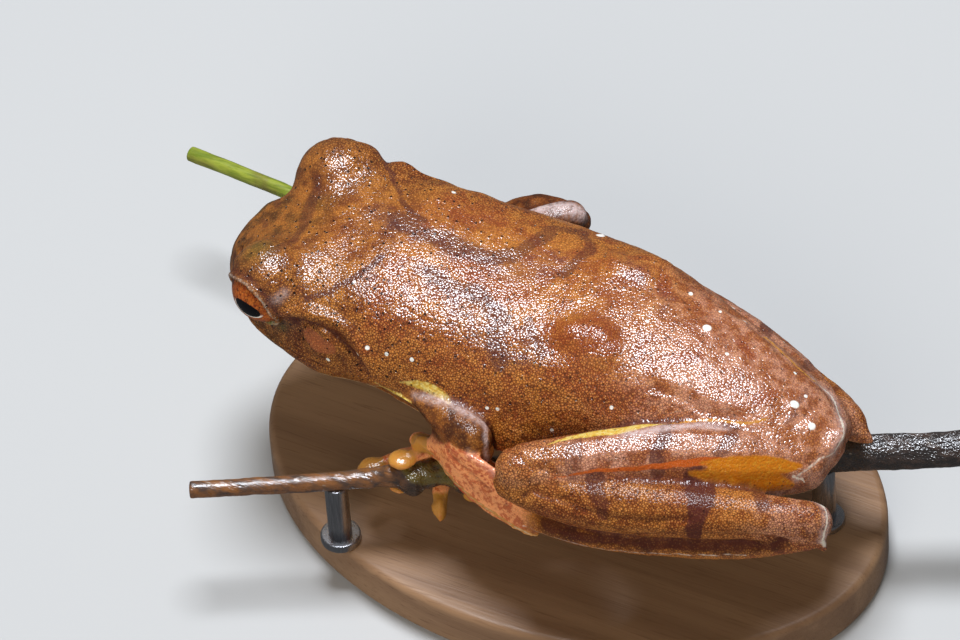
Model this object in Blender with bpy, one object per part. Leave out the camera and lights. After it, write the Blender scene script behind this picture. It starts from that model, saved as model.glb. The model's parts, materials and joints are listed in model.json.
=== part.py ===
"""Red-webbed tree frog, a life-size still model on a forked perch with a small display stand.

Body measures are in millimetres in the frog's own directions, from its vent:
f is forward to the snout, l is out to the frog's left, u is up.
The finished objects are in metres, with the frog facing -X, its left side at -Y and +Z up.
"""
import math

import bmesh
import bpy
from mathutils import Matrix, Vector

MM = 0.001
GAP = 0.3
SHORTEST_EDGE = 0.03
SHARP_ANGLE = math.radians(32)
SHARP_ANGLE_DIGITS = math.radians(60)

# Stand and the place of the vent above the floor
BASE_CENTRE_F = 23.0
BASE_CENTRE_L = -1.5
BASE_HALF_LENGTH = 25.0
BASE_HALF_WIDTH = 17.0
BASE_THICKNESS = 4.0
BASE_EDGE = 0.6
BASE_TOP_BELOW_VENT = 15.0
VENT_HEIGHT = BASE_TOP_BELOW_VENT + BASE_THICKNESS
ROD_RADIUS = 0.9
ROD_FEET = {"stand_rod_1": (3.2, -3.9), "stand_rod_2": (36.2, 12.3)}
ROD_TOP_BELOW_VENT = 7.6
BASE_SIDES = 48

# Body sections from vent to neck: f, middle l, height of the widest line,
# half width, rise of the back above that line, drop of the belly below it
BODY_SECTIONS = (
    (0.1, 0.0, -0.7, 1.5, 1.2, 1.6),
    (1.6, 0.0, -0.9, 3.1, 2.3, 2.9),
    (4.2, -0.3, -1.0, 4.6, 3.5, 4.0),
    (8.0, -0.8, -1.2, 5.9, 4.9, 4.8),
    (13.0, -1.3, -1.3, 7.4, 6.1, 5.4),
    (19.0, -1.8, -1.3, 8.9, 6.7, 6.0),
    (25.0, -1.5, -1.2, 9.7, 6.5, 6.3),
    (31.0, -1.1, -0.4, 9.3, 6.2, 6.1),
    (36.0, -0.8, 0.4, 8.8, 5.9, 5.8),
)
# Corner of the back and of the belly, as shares of half width and height;
# the back squares up from SQUARE_FROM_F forward over the shoulders
BACK_CORNER = (0.70, 0.76)
SHOULDER_CORNER = (0.76, 0.79)
SQUARE_FROM_F = 26.0
BELLY_CORNER = (0.74, 0.72)
VENT_POLE = (-0.5, 0.0, -0.8)
NECK_F = 36.0

# Head sections from neck to snout: f, middle l, crown, canthus half width and height,
# lip half width and height, jaw half width and height, throat
HEAD_SECTIONS = (
    (38.6, -0.5, 6.0, 6.9, 4.6, 8.5, -0.6, 6.2, -3.9, -5.2),
    (41.0, -0.4, 5.8, 6.2, 5.0, 8.0, -0.9, 5.8, -3.8, -4.9),
    (43.4, -0.3, 5.2, 5.2, 4.7, 7.0, -1.1, 5.1, -3.6, -4.5),
    (45.6, -0.2, 4.2, 4.0, 3.7, 6.0, -1.2, 4.2, -3.2, -3.9),
    (47.6, -0.3, 3.0, 2.9, 2.4, 4.7, -1.2, 3.1, -2.7, -3.2),
    (49.2, -0.4, 1.7, 2.0, 1.2, 3.1, -1.2, 2.0, -2.1, -2.5),
    (50.0, -0.4, 0.6, 1.0, 0.3, 1.7, -1.1, 1.1, -1.7, -1.9),
)
SNOUT_POLE = (50.4, -0.4, -0.7)
POINTS_PER_SPAN = 4
BODY_STEPS = 3

# Eyes
EYE_F = 44.2
EYE_MIDDLE_L = -0.35
EYE_OUT = 5.6
EYE_U = 3.5
EYE_RADIUS = 2.65
EYE_CAVITY_RADIUS = EYE_RADIUS + 0.25
LID_RADIUS = 3.18
LOOK_FORWARD = 0.36
LOOK_DOWN = 0.12
LID_OPENING_START = 1.25
LID_OPENING_RADII = (2.35, 3.3)
LID_OPENING_LENGTH = 3.2

# Face details
NOSTRIL = (48.5, 2.0, 1.5)
NOSTRIL_RADIUS = 0.32
NOSTRIL_DEPTH = 0.7
MOUTH_CORNER_F = 38.2
MOUTH_GROOVE = 0.28
MOUTH_BITE = 0.35
MOUTH_BELOW_LIP = 0.15
MOUTH_CUTTER_REACH = 1.0
EARDRUM = (38.9, 8.0, 1.3)
EARDRUM_RADIUS = 1.25
EARDRUM_HEIGHT = 0.62
EAR_FOLD = (
    (42.2, 6.5, 3.5, 0.55, 0.60),
    (40.4, 7.1, 3.6, 0.65, 0.70),
    (38.6, 7.8, 3.0, 0.70, 0.75),
    (37.2, 8.3, 1.9, 0.62, 0.62),
)
SACRAL_HUMPS = ((18.8, 2.0, 3.8), (18.6, -5.9, 3.7))
SACRAL_HUMP_RADII = (3.3, 2.1, 1.5)
VENT_FOLD = (
    (2.6, 2.6, -2.4, 0.35, 0.35),
    (0.9, 1.9, -0.6, 0.50, 0.50),
    (0.1, 0.0, 0.5, 0.55, 0.55),
    (0.9, -1.9, -0.6, 0.50, 0.50),
    (2.6, -2.6, -2.4, 0.35, 0.35),
)

# Limb segments: f, l, u, half width, half height
THIGH_LEFT = (
    (2.4, 2.0, -1.4, 2.3, 2.5),
    (6.5, 4.6, -0.6, 2.6, 3.0),
    (12.2, 7.5, 0.2, 2.4, 2.8),
    (17.0, 10.2, 0.1, 2.1, 2.4),
    (20.4, 11.8, -0.2, 1.8, 2.0),
)
SHANK_LEFT = (
    (20.5, 12.1, -1.1, 1.8, 1.9),
    (16.0, 11.7, -1.4, 2.1, 2.2),
    (10.6, 10.4, -1.4, 2.1, 2.2),
    (4.0, 8.3, -1.5, 1.7, 1.8),
    (-0.9, 6.7, -1.7, 1.3, 1.6),
)
TARSUS_LEFT = (
    (-0.7, 7.0, -3.0, 1.1, 1.1),
    (4.0, 8.7, -4.2, 1.3, 1.2),
    (10.5, 10.5, -4.8, 1.4, 1.2),
    (15.5, 11.2, -5.1, 1.7, 1.1),
    (19.0, 11.0, -5.3, 1.9, 0.9),
)
THIGH_RIGHT = (
    (2.4, -2.0, -1.6, 2.3, 2.4),
    (6.5, -4.9, -2.1, 2.5, 2.7),
    (12.0, -8.0, -2.9, 2.3, 2.5),
    (17.0, -10.2, -3.7, 2.1, 2.2),
    (20.0, -10.9, -4.1, 1.8, 1.9),
)
SHANK_RIGHT = (
    (20.3, -11.1, -5.0, 1.7, 1.8),
    (15.0, -10.3, -5.7, 2.0, 2.1),
    (9.0, -8.5, -5.3, 2.0, 2.0),
    (4.4, -6.3, -4.2, 1.7, 1.7),
    (1.3, -4.5, -3.2, 1.3, 1.4),
)
TARSUS_RIGHT = (
    (1.3, -5.4, -4.5, 1.0, 0.9),
    (5.0, -7.6, -6.8, 1.2, 1.0),
    (9.5, -8.7, -8.0, 1.4, 1.0),
    (13.0, -8.9, -8.4, 1.6, 0.9),
    (15.5, -8.7, -8.4, 1.7, 0.8),
)
UPPER_ARM_LEFT = (
    (34.4, 5.4, -1.8, 2.2, 2.0),
    (31.0, 7.6, -1.6, 1.8, 1.8),
    (27.8, 9.0, -1.1, 1.6, 1.7),
    (25.4, 9.9, -0.9, 1.4, 1.5),
)
FOREARM_LEFT = (
    (25.2, 10.0, -1.9, 1.4, 1.4),
    (26.6, 9.2, -3.2, 1.7, 1.6),
    (28.2, 7.7, -4.8, 1.4, 1.4),
    (29.2, 6.7, -5.9, 1.0, 1.0),
)
UPPER_ARM_RIGHT = (
    (34.6, -7.0, -2.2, 2.1, 2.0),
    (32.0, -9.8, -2.0, 1.7, 1.7),
    (30.0, -12.0, -1.6, 1.5, 1.6),
    (28.6, -13.3, -1.3, 1.3, 1.4),
)
FOREARM_RIGHT = (
    (28.4, -13.7, -2.0, 1.3, 1.3),
    (31.4, -13.7, -2.5, 1.6, 1.5),
    (34.2, -12.8, -3.9, 1.3, 1.3),
    (36.3, -11.3, -5.2, 1.0, 0.9),
)
LIMB_UP = Vector((0.0, 0.0, 1.0))

# Calcar on each heel: root f, l, u, tip f, l, u, root radius
CALCAR_TIP_RADIUS = 0.22
CALCAR_LEFT = ((-1.3, 6.8, -2.2), (-2.0, 7.1, -4.0), 0.85)
CALCAR_RIGHT = ((0.7, -4.8, -3.3), (-0.5, -4.5, -4.3), 0.8)

# Digits: lists of f, l, u from root to tip, with the facing of the disc at the end
DIGIT_ROOT_RADIUS = 0.62
DIGIT_TIP_RADIUS = 0.48
TOE_DISC = (0.95, 0.85, 0.40)
FINGER_DISC = (1.15, 1.05, 0.45)
WEB_HALF_THICKNESS = 0.27
WEB_HOLLOW = 0.35
WEB_COLUMNS = 3

TOES_LEFT = (
    (((15.0, 9.9, -5.4), (17.6, 7.9, -5.9), (20.2, 6.0, -6.1)), (0.0, -0.4, -0.9)),
    (((16.2, 10.3, -5.4), (19.8, 8.9, -5.9), (23.6, 7.2, -6.1)), (0.0, -0.3, -0.9)),
    (((17.6, 10.8, -5.3), (22.0, 9.6, -5.6), (26.3, 7.6, -6.0)), (0.0, -0.2, -1.0)),
    (((18.3, 11.2, -5.3), (24.6, 10.5, -5.0), (30.4, 8.6, -5.2)), (0.2, 0.0, -1.0)),
    (((18.0, 11.8, -5.4), (22.2, 11.7, -6.3), (25.8, 9.7, -7.7)), (0.0, -0.9, -0.3)),
)
TOES_RIGHT = (
    (((10.5, -7.9, -8.3), (12.0, -6.4, -8.6), (13.6, -5.3, -8.6)), (0.0, 0.2, 1.0)),
    (((12.0, -7.9, -8.6), (14.6, -6.6, -8.8), (17.2, -5.8, -8.6)), (0.0, 0.2, 1.0)),
    (((13.8, -8.3, -8.5), (17.8, -7.4, -8.8), (21.2, -6.4, -8.6)), (0.0, 0.2, 1.0)),
    (((14.6, -8.8, -8.4), (19.8, -8.8, -8.5), (24.8, -8.0, -7.6)), (0.0, 1.0, 0.2)),
    (((14.4, -9.3, -8.3), (17.6, -9.6, -7.9), (20.6, -8.4, -7.2)), (0.0, 1.0, 0.0)),
)
PALM_LEFT = ((29.2, 6.8, -6.3, 1.2, 1.0), (30.2, 6.9, -7.2, 1.4, 0.9), (31.0, 7.1, -8.2, 1.2, 0.7))
FINGERS_LEFT = (
    (((29.6, 6.9, -6.9), (30.0, 8.1, -6.3), (31.4, 9.6, -6.3)), (0.0, 0.1, -1.0)),
    (((29.8, 7.0, -8.2), (29.3, 7.8, -9.7), (29.1, 8.7, -9.95), (28.9, 9.3, -10.6)), (-1.0, -0.4, 0.0)),
    (((30.6, 7.1, -8.3), (31.0, 7.7, -9.3), (31.9, 9.2, -9.5)), (0.0, 0.0, 1.0)),
    (((31.2, 7.2, -8.2), (32.8, 7.6, -8.7), (34.4, 9.2, -9.1)), (0.0, 0.2, 1.0)),
)
PALM_RIGHT = ((36.2, -11.2, -5.3, 1.1, 0.8), (37.4, -10.6, -5.8, 1.4, 0.75), (38.6, -10.3, -5.9, 1.3, 0.7))
FINGERS_RIGHT = (
    (((36.8, -10.4, -5.8), (36.4, -9.0, -5.7), (36.0, -7.9, -6.5)), (0.0, -1.0, -0.3)),
    (((37.8, -10.0, -6.0), (38.2, -8.6, -5.9), (38.4, -7.9, -7.1)), (0.0, -1.0, 0.1)),
    (((38.8, -10.2, -6.0), (40.8, -9.4, -5.9), (42.3, -8.8, -6.6)), (0.0, -0.9, -0.4)),
    (((38.4, -10.9, -6.0), (39.4, -11.7, -6.8), (40.2, -11.2, -8.0)), (0.0, 1.0, 0.3)),
)
WEB_REACH_FOOT = 0.82
WEB_REACH_HAND = 0.45

# Perch: f, l, u, radius. The woody shoot runs on as a thinner twig past a knot;
# the green shoot leaves it at the fork.
WOODY_SHOOT = (
    (-8.5, -9.6, -6.9, 1.45),
    (-4.0, -7.4, -7.2, 1.40),
    (1.0, -5.1, -7.3, 1.40),
    (6.0, -2.7, -7.7, 1.35),
    (12.0, 0.2, -7.9, 1.25),
    (18.0, 3.2, -8.0, 1.20),
    (24.0, 6.0, -8.1, 1.20),
    (28.5, 8.3, -8.0, 1.15),
    (31.5, 9.8, -8.0, 0.95),
    (36.0, 12.2, -8.3, 0.75),
    (41.0, 14.6, -8.6, 0.70),
    (46.0, 17.2, -8.6, 0.68),
)
GREEN_SHOOT = (
    (4.0, -3.5, -7.5, 0.95),
    (9.0, -4.1, -7.4, 0.80),
    (20.0, -6.2, -7.1, 0.72),
    (32.0, -8.3, -7.1, 0.70),
    (44.0, -10.5, -7.1, 0.66),
    (53.0, -11.9, -7.2, 0.62),
    (61.5, -12.9, -7.7, 0.62),
)
KNOTS = ((27.2, 8.2, -7.6, 1.55), (31.0, 9.9, -8.1, 1.35), (32.3, 10.4, -7.6, 0.8))

ROUND_SIDES = 12
DIGIT_SIDES = 7
PERCH_SIDES = 10
CAP_ANGLES = (math.radians(65), math.radians(35))
SLAB_SIZE = 60.0
BEHIND_VENT_F = -10.0
AHEAD_OF_SNOUT_F = 60.0

COLOURS = {
    "skin_brown": ((0.42, 0.16, 0.055), 0.38),
    "skin_limb": ((0.45, 0.19, 0.085), 0.38),
    "skin_red": ((0.62, 0.20, 0.07), 0.36),
    "iris": ((0.55, 0.20, 0.05), 0.12),
    "bark": ((0.035, 0.022, 0.015), 0.35),
    "green_bark": ((0.16, 0.24, 0.03), 0.40),
    "stand_wood": ((0.30, 0.19, 0.11), 0.45),
    "stand_steel": ((0.55, 0.55, 0.56), 0.30),
}


def place(f, l, u):
    """A point in metres from the frog's own forward, left and up measures."""
    return Vector((BASE_CENTRE_F - f, BASE_CENTRE_L - l, u + VENT_HEIGHT)) * MM


def aim(f, l, u):
    """A unit direction from the frog's own forward, left and up measures."""
    return Vector((-f, -l, u)).normalized()


def blend_row(before, start, end, after, t):
    """One Catmull-Rom row between two stations."""
    row = []
    for p0, p1, p2, p3 in zip(before, start, end, after):
        row.append(
            0.5 * (2 * p1 + (p2 - p0) * t + (2 * p0 - 5 * p1 + 4 * p2 - p3) * t**2
                   + (3 * p1 - p0 - 3 * p2 + p3) * t**3)
        )
    return tuple(row)


def spread(stations, steps):
    """Rows through the stations, with `steps` rows to each span."""
    rows = []
    last = len(stations) - 1
    for index in range(last):
        before = stations[max(index - 1, 0)]
        after = stations[min(index + 2, last)]
        for step in range(steps):
            rows.append(blend_row(before, stations[index], stations[index + 1], after, step / steps))
    rows.append(tuple(stations[last]))
    return rows


def closed_mesh(rings, start_pole, end_pole):
    """A bmesh skinned over rings of equal length and closed at a pole at each end."""
    mesh = bmesh.new()
    levels = [[mesh.verts.new(point) for point in ring] for ring in rings]
    count = len(levels[0])
    for lower, upper in zip(levels, levels[1:]):
        for i in range(count):
            j = (i + 1) % count
            mesh.faces.new((lower[i], lower[j], upper[j], upper[i]))
    first = mesh.verts.new(start_pole)
    last = mesh.verts.new(end_pole)
    for i in range(count):
        j = (i + 1) % count
        mesh.faces.new((first, levels[0][j], levels[0][i]))
        mesh.faces.new((last, levels[-1][i], levels[-1][j]))
    bmesh.ops.recalc_face_normals(mesh, faces=mesh.faces)
    return mesh


def as_object(mesh, name):
    """A linked object that holds the bmesh."""
    data = bpy.data.meshes.new(name)
    mesh.to_mesh(data)
    mesh.free()
    item = bpy.data.objects.new(name, data)
    bpy.context.scene.collection.objects.link(item)
    return item


def frames_along(points, up):
    """A side and an up axis at each point, turned with the path."""
    frames = []
    carried = None
    last = len(points) - 1
    for index in range(len(points)):
        tangent = (points[min(index + 1, last)] - points[max(index - 1, 0)]).normalized()
        if up is None:
            if carried is None:
                carried = tangent.orthogonal()
            carried = (carried - tangent * carried.dot(tangent)).normalized()
            upward = carried
        else:
            upward = (up - tangent * up.dot(tangent)).normalized()
        frames.append((tangent, upward.cross(tangent), upward))
    return frames


def tube(stations, sides=ROUND_SIDES, steps=2, up=LIMB_UP, grow=0.0):
    """A round-ended closed tube through stations of f, l, u, half width and half height."""
    rows = spread(stations, steps)
    points = [place(*row[:3]) for row in rows]
    frames = frames_along(points, up)
    rings = []

    def ring(centre, side, upward, wide, high):
        angles = [2 * math.pi * k / sides for k in range(sides)]
        return [centre + side * wide * math.cos(a) + upward * high * math.sin(a) for a in angles]

    sizes = [((row[3] + grow) * MM, (row[4] + grow) * MM) for row in rows]
    tangent, side, upward = frames[0]
    wide, high = sizes[0]
    reach = (wide + high) / 2
    for bend in CAP_ANGLES:
        centre = points[0] - tangent * reach * math.sin(bend)
        rings.append(ring(centre, side, upward, wide * math.cos(bend), high * math.cos(bend)))
    start_pole = points[0] - tangent * reach
    for point, axes, size in zip(points, frames, sizes):
        rings.append(ring(point, axes[1], axes[2], *size))
    tangent, side, upward = frames[-1]
    wide, high = sizes[-1]
    reach = (wide + high) / 2
    for bend in reversed(CAP_ANGLES):
        centre = points[-1] + tangent * reach * math.sin(bend)
        rings.append(ring(centre, side, upward, wide * math.cos(bend), high * math.cos(bend)))
    return as_object(closed_mesh(rings, start_pole, points[-1] + tangent * reach), "tube")


def round_path(stations, sides, steps=2, grow=0.0):
    """A tube of round section from f, l, u and radius."""
    return tube([(f, l, u, r, r) for f, l, u, r in stations], sides, steps, None, grow)


def ball(centre, radii, axes=None, segments=16, rings=10, grow=0.0):
    """An ellipsoid from its radii along three axes."""
    mesh = bmesh.new()
    bmesh.ops.create_uvsphere(mesh, u_segments=segments, v_segments=rings, radius=1.0)
    size = Matrix.Diagonal([(radius + grow) * MM for radius in radii]).to_4x4()
    turn = Matrix.Identity(4)
    if axes is not None:
        turn = Matrix(axes).transposed().to_4x4()
    bmesh.ops.transform(mesh, matrix=Matrix.Translation(centre) @ turn @ size, verts=mesh.verts)
    return as_object(mesh, "ball")


def axes_facing(normal, along):
    """Three axes with the last along `normal` and the first near `along`."""
    third = normal.normalized()
    first = (along - third * along.dot(third)).normalized()
    return [first, third.cross(first), third]


def cone(start, end, start_radius, end_radius, sides=20):
    """A closed cone frustum between two points, radii in millimetres."""
    mesh = bmesh.new()
    line = end - start
    bmesh.ops.create_cone(
        mesh, cap_ends=True, segments=sides, radius1=start_radius * MM, radius2=end_radius * MM,
        depth=line.length,
    )
    turn = line.to_track_quat("Z", "Y").to_matrix().to_4x4()
    bmesh.ops.transform(mesh, matrix=Matrix.Translation((start + end) / 2) @ turn, verts=mesh.verts)
    return as_object(mesh, "cone")


def section_points(middle_l, f, outline, grow):
    """A closed ring from half an outline of (half width, height), top to bottom."""
    half = [(0.0, outline[0][1])] + list(outline[1:-1]) + [(0.0, outline[-1][1])]
    mirrored = half + [(-w, u) for w, u in reversed(half[1:-1])]
    count = len(mirrored)
    centre_u = (half[0][1] + half[-1][1]) / 2
    ring = []
    for index in range(count):
        nodes = [mirrored[(index + shift) % count] for shift in (-1, 0, 1, 2)]
        for step in range(POINTS_PER_SPAN):
            w, u = blend_row(*nodes, step / POINTS_PER_SPAN)
            if grow:
                length = math.hypot(w, u - centre_u)
                w += grow * w / length
                u += grow * (u - centre_u) / length
            ring.append(place(f, middle_l + w, u))
    return ring


def body_outline(row):
    """Half the outline of a body section."""
    widest, half_width, rise, drop = row[2:]
    squared = min(max((row[0] - SQUARE_FROM_F) / (NECK_F - SQUARE_FROM_F), 0.0), 1.0)
    corner_w, corner_u = [
        plain + (shoulder - plain) * squared for plain, shoulder in zip(BACK_CORNER, SHOULDER_CORNER)
    ]
    return (
        (0.0, widest + rise),
        (half_width * corner_w, widest + rise * corner_u),
        (half_width, widest),
        (half_width * BELLY_CORNER[0], widest - drop * BELLY_CORNER[1]),
        (0.0, widest - drop),
    )


def head_outline(row):
    """Half the outline of a head section."""
    crown, canthus_w, canthus_u, lip_w, lip_u, jaw_w, jaw_u, throat = row[2:]
    return ((0.0, crown), (canthus_w, canthus_u), (lip_w, lip_u), (jaw_w, jaw_u), (0.0, throat))


def body_and_head(grow=0.0):
    """The closed form of trunk and head in one, from vent to snout."""
    rows = [(row[0], row[1], body_outline(row)) for row in BODY_SECTIONS]
    rows += [(row[0], row[1], head_outline(row)) for row in HEAD_SECTIONS]
    flat = [(f, l) + tuple(value for point in outline for value in point) for f, l, outline in rows]
    rings = []
    for row in spread(flat, BODY_STEPS):
        outline = [(row[2 + 2 * k], row[3 + 2 * k]) for k in range(5)]
        rings.append(section_points(row[1], row[0], outline, grow))
    vent = place(*VENT_POLE) + aim(-1, 0, 0) * grow * MM
    snout = place(*SNOUT_POLE) + aim(1, 0, 0) * grow * MM
    return as_object(closed_mesh(rings, vent, snout), "body")


def slab_between(f_start, f_end):
    """A wide block that holds everything between two stations."""
    mesh = bmesh.new()
    bmesh.ops.create_cube(mesh, size=1.0)
    centre = place((f_start + f_end) / 2, 0.0, 0.0)
    size = Matrix.Diagonal((abs(f_end - f_start) * MM, SLAB_SIZE * MM, SLAB_SIZE * MM)).to_4x4()
    bmesh.ops.transform(mesh, matrix=Matrix.Translation(centre) @ size, verts=mesh.verts)
    return as_object(mesh, "slab")


def keep_largest(item):
    """Leave only the largest closed surface of an object."""
    mesh = bmesh.new()
    mesh.from_mesh(item.data)
    unseen = set(mesh.faces)
    shells = []
    while unseen:
        stack = [unseen.pop()]
        shell = list(stack)
        while stack:
            face = stack.pop()
            for edge in face.edges:
                for other in edge.link_faces:
                    if other in unseen:
                        unseen.remove(other)
                        stack.append(other)
                        shell.append(other)
        shells.append(shell)
    shells.sort(key=lambda faces: sum(face.calc_area() for face in faces), reverse=True)
    spare = [face for shell in shells[1:] for face in shell]
    bmesh.ops.delete(mesh, geom=spare, context="FACES")
    mesh.to_mesh(item.data)
    mesh.free()


def apply_boolean(item, others, operation, solver):
    """Join the other objects to one, or cut it by them, and remove them."""
    holder = bpy.data.collections.new("operands")
    for other in others:
        holder.objects.link(other)
    modifier = item.modifiers.new("Boolean", "BOOLEAN")
    modifier.operation = operation
    modifier.operand_type = "COLLECTION"
    modifier.collection = holder
    modifier.solver = solver
    graph = bpy.context.evaluated_depsgraph_get()
    result = bpy.data.meshes.new_from_object(item.evaluated_get(graph))
    item.modifiers.clear()
    old = item.data
    item.data = result
    bpy.data.meshes.remove(old)
    for other in others:
        bpy.data.objects.remove(other)
    bpy.data.collections.remove(holder)
    keep_largest(item)


def tidy(item):
    """Split faces into triangles and close up edges too short to matter."""
    mesh = bmesh.new()
    mesh.from_mesh(item.data)
    for face in [face for face in mesh.faces if len(face.verts) > 3]:
        corners = set(face.verts)
        chords = [edge for vert in corners for edge in vert.link_edges
                  if edge not in face.edges and edge.other_vert(vert) in corners]
        if chords:
            bmesh.ops.poke(mesh, faces=[face])
        else:
            bmesh.ops.triangulate(mesh, faces=[face])
    shrinking = True
    while shrinking:
        shrinking = False
        short = [edge for edge in mesh.edges if edge.calc_length() < SHORTEST_EDGE * MM]
        for edge in sorted(short, key=lambda link: link.calc_length()):
            if not edge.is_valid:
                continue
            start, end = edge.verts
            around_start = {link.other_vert(start) for link in start.link_edges}
            around_end = {link.other_vert(end) for link in end.link_edges}
            if len(around_start & around_end) != 2:
                continue
            middle = (start.co + end.co) / 2
            bmesh.ops.pointmerge(mesh, verts=[start, end], merge_co=middle)
            shrinking = True
    mesh.to_mesh(item.data)
    mesh.free()


def finish(item, name, material_name, sharp_angle=SHARP_ANGLE):
    """Name a node, give it its material and smooth shading."""
    item.name = name
    item.data.name = name
    tidy(item)
    item.data.materials.clear()
    item.data.materials.append(material(material_name))
    item.data.shade_smooth()
    item.data.set_sharp_from_angle(angle=sharp_angle)


def material(name):
    """A Principled material of the named colour, made once."""
    found = bpy.data.materials.get(name)
    if found:
        return found
    colour, roughness = COLOURS[name]
    made = bpy.data.materials.new(name)
    made.use_nodes = True
    shader = made.node_tree.nodes["Principled BSDF"]
    shader.inputs["Base Color"].default_value = (*colour, 1.0)
    shader.inputs["Roughness"].default_value = roughness
    shader.inputs["Metallic"].default_value = 1.0 if name == "stand_steel" else 0.0
    return made


def node(name, material_name, pieces, cutters=(), solver="EXACT", sharp_angle=SHARP_ANGLE):
    """One node: its pieces joined, then cut clear of its neighbours."""
    item = pieces[0]
    if len(pieces) > 1:
        apply_boolean(item, pieces[1:], "UNION", solver)
    if cutters:
        apply_boolean(item, list(cutters), "DIFFERENCE", solver)
    finish(item, name, material_name, sharp_angle)
    return item


def eye_centre(side):
    """The middle of an eyeball; side is 1 on the left and -1 on the right."""
    return place(EYE_F, EYE_MIDDLE_L + side * EYE_OUT, EYE_U)


def eye_axis(side):
    """The direction an eye looks in."""
    return aim(LOOK_FORWARD, side, -LOOK_DOWN)


def eyeball(side, radius, segments=20, rings=12):
    """A ball at the eye, with its poles on the line of sight."""
    axes = axes_facing(eye_axis(side), LIMB_UP)
    return ball(eye_centre(side), (radius,) * 3, axes, segments, rings)


def lid_opening(side):
    """The flared space in front of an eyeball that the lids leave open."""
    start = eye_centre(side) + eye_axis(side) * LID_OPENING_START * MM
    end = start + eye_axis(side) * LID_OPENING_LENGTH * MM
    return cone(start, end, *LID_OPENING_RADII)


def face_point(f, out, u, side):
    """A point of the face, `out` to one side of the head's middle line."""
    return place(f, EYE_MIDDLE_L + side * out, u)


def nostril(side):
    """A small round pit on the side of the snout."""
    rim = face_point(*NOSTRIL, side)
    inward = aim(-0.3, -side * 0.8, -0.6)
    start = rim - inward * NOSTRIL_DEPTH * MM
    end = rim + inward * NOSTRIL_DEPTH * MM
    return cone(start, end, NOSTRIL_RADIUS * 1.6, NOSTRIL_RADIUS * 0.5, 8)


def mouth_line():
    """A thin curved plate that cuts the line of the mouth into the lips."""
    outer = []
    inner = []
    for f, middle, _, _, _, lip, lip_u, *_ in spread(HEAD_SECTIONS, 2):
        if f >= MOUTH_CORNER_F:
            height = lip_u - MOUTH_BELOW_LIP
            outer.append((f, middle, lip + MOUTH_CUTTER_REACH, height))
            inner.append((f - 0.1, middle, lip - MOUTH_BITE, height))
    tip_f, tip_l, _, tip_u = outer[-1]
    path_out = [(f, m + w, u) for f, m, w, u in outer]
    path_out += [(tip_f + 2 * MOUTH_CUTTER_REACH, tip_l, tip_u)]
    path_out += [(f, m - w, u) for f, m, w, u in reversed(outer)]
    path_in = [(f, m + w, u) for f, m, w, u in inner]
    path_in += [(tip_f + 0.05, tip_l, tip_u)]
    path_in += [(f, m - w, u) for f, m, w, u in reversed(inner)]
    mesh = bmesh.new()
    rings = []
    for (fo, lo, uo), (fi, li, ui) in zip(path_out, path_in):
        half = MOUTH_GROOVE / 2
        ring = [place(fo, lo, uo + half), place(fi, li, ui + half * 0.5),
                place(fi, li, ui - half * 0.5), place(fo, lo, uo - half)]
        rings.append([mesh.verts.new(point) for point in ring])
    for lower, upper in zip(rings, rings[1:]):
        for i in range(4):
            j = (i + 1) % 4
            mesh.faces.new((lower[i], lower[j], upper[j], upper[i]))
    mesh.faces.new(rings[0])
    mesh.faces.new(list(reversed(rings[-1])))
    bmesh.ops.triangulate(mesh, faces=mesh.faces)
    bmesh.ops.recalc_face_normals(mesh, faces=mesh.faces)
    return as_object(mesh, "mouth")


def head_pieces():
    """The head's form with its lids, ear folds and eardrums."""
    pieces = [body_and_head()]
    for side in (1, -1):
        pieces.append(ball(eye_centre(side), (LID_RADIUS,) * 3, None, 20, 12))
        fold = [(f, EYE_MIDDLE_L + side * l, u, w, h) for f, l, u, w, h in EAR_FOLD]
        pieces.append(tube(fold, 8))
        drum = face_point(*EARDRUM, side)
        axes = axes_facing(aim(0, side, 0.15), LIMB_UP)
        pieces.append(ball(drum, (EARDRUM_RADIUS, EARDRUM_RADIUS, EARDRUM_HEIGHT), axes, 14, 6))
    return pieces


def digit(path, radius_root, radius_tip, disc, facing):
    """A toe or finger with its adhesive disc."""
    count = len(path) - 1
    stations = []
    for index, (f, l, u) in enumerate(path):
        radius = radius_root + (radius_tip - radius_root) * index / count
        stations.append((f, l, u, radius))
    shaft = round_path(stations, DIGIT_SIDES)
    tip = place(*path[-1])
    along = (tip - place(*path[-2])).normalized()
    axes = axes_facing(aim(*facing), along)
    pad = ball(tip + along * disc[0] * 0.3 * MM, disc, axes, 10, 6)
    return [shaft, pad]


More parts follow.
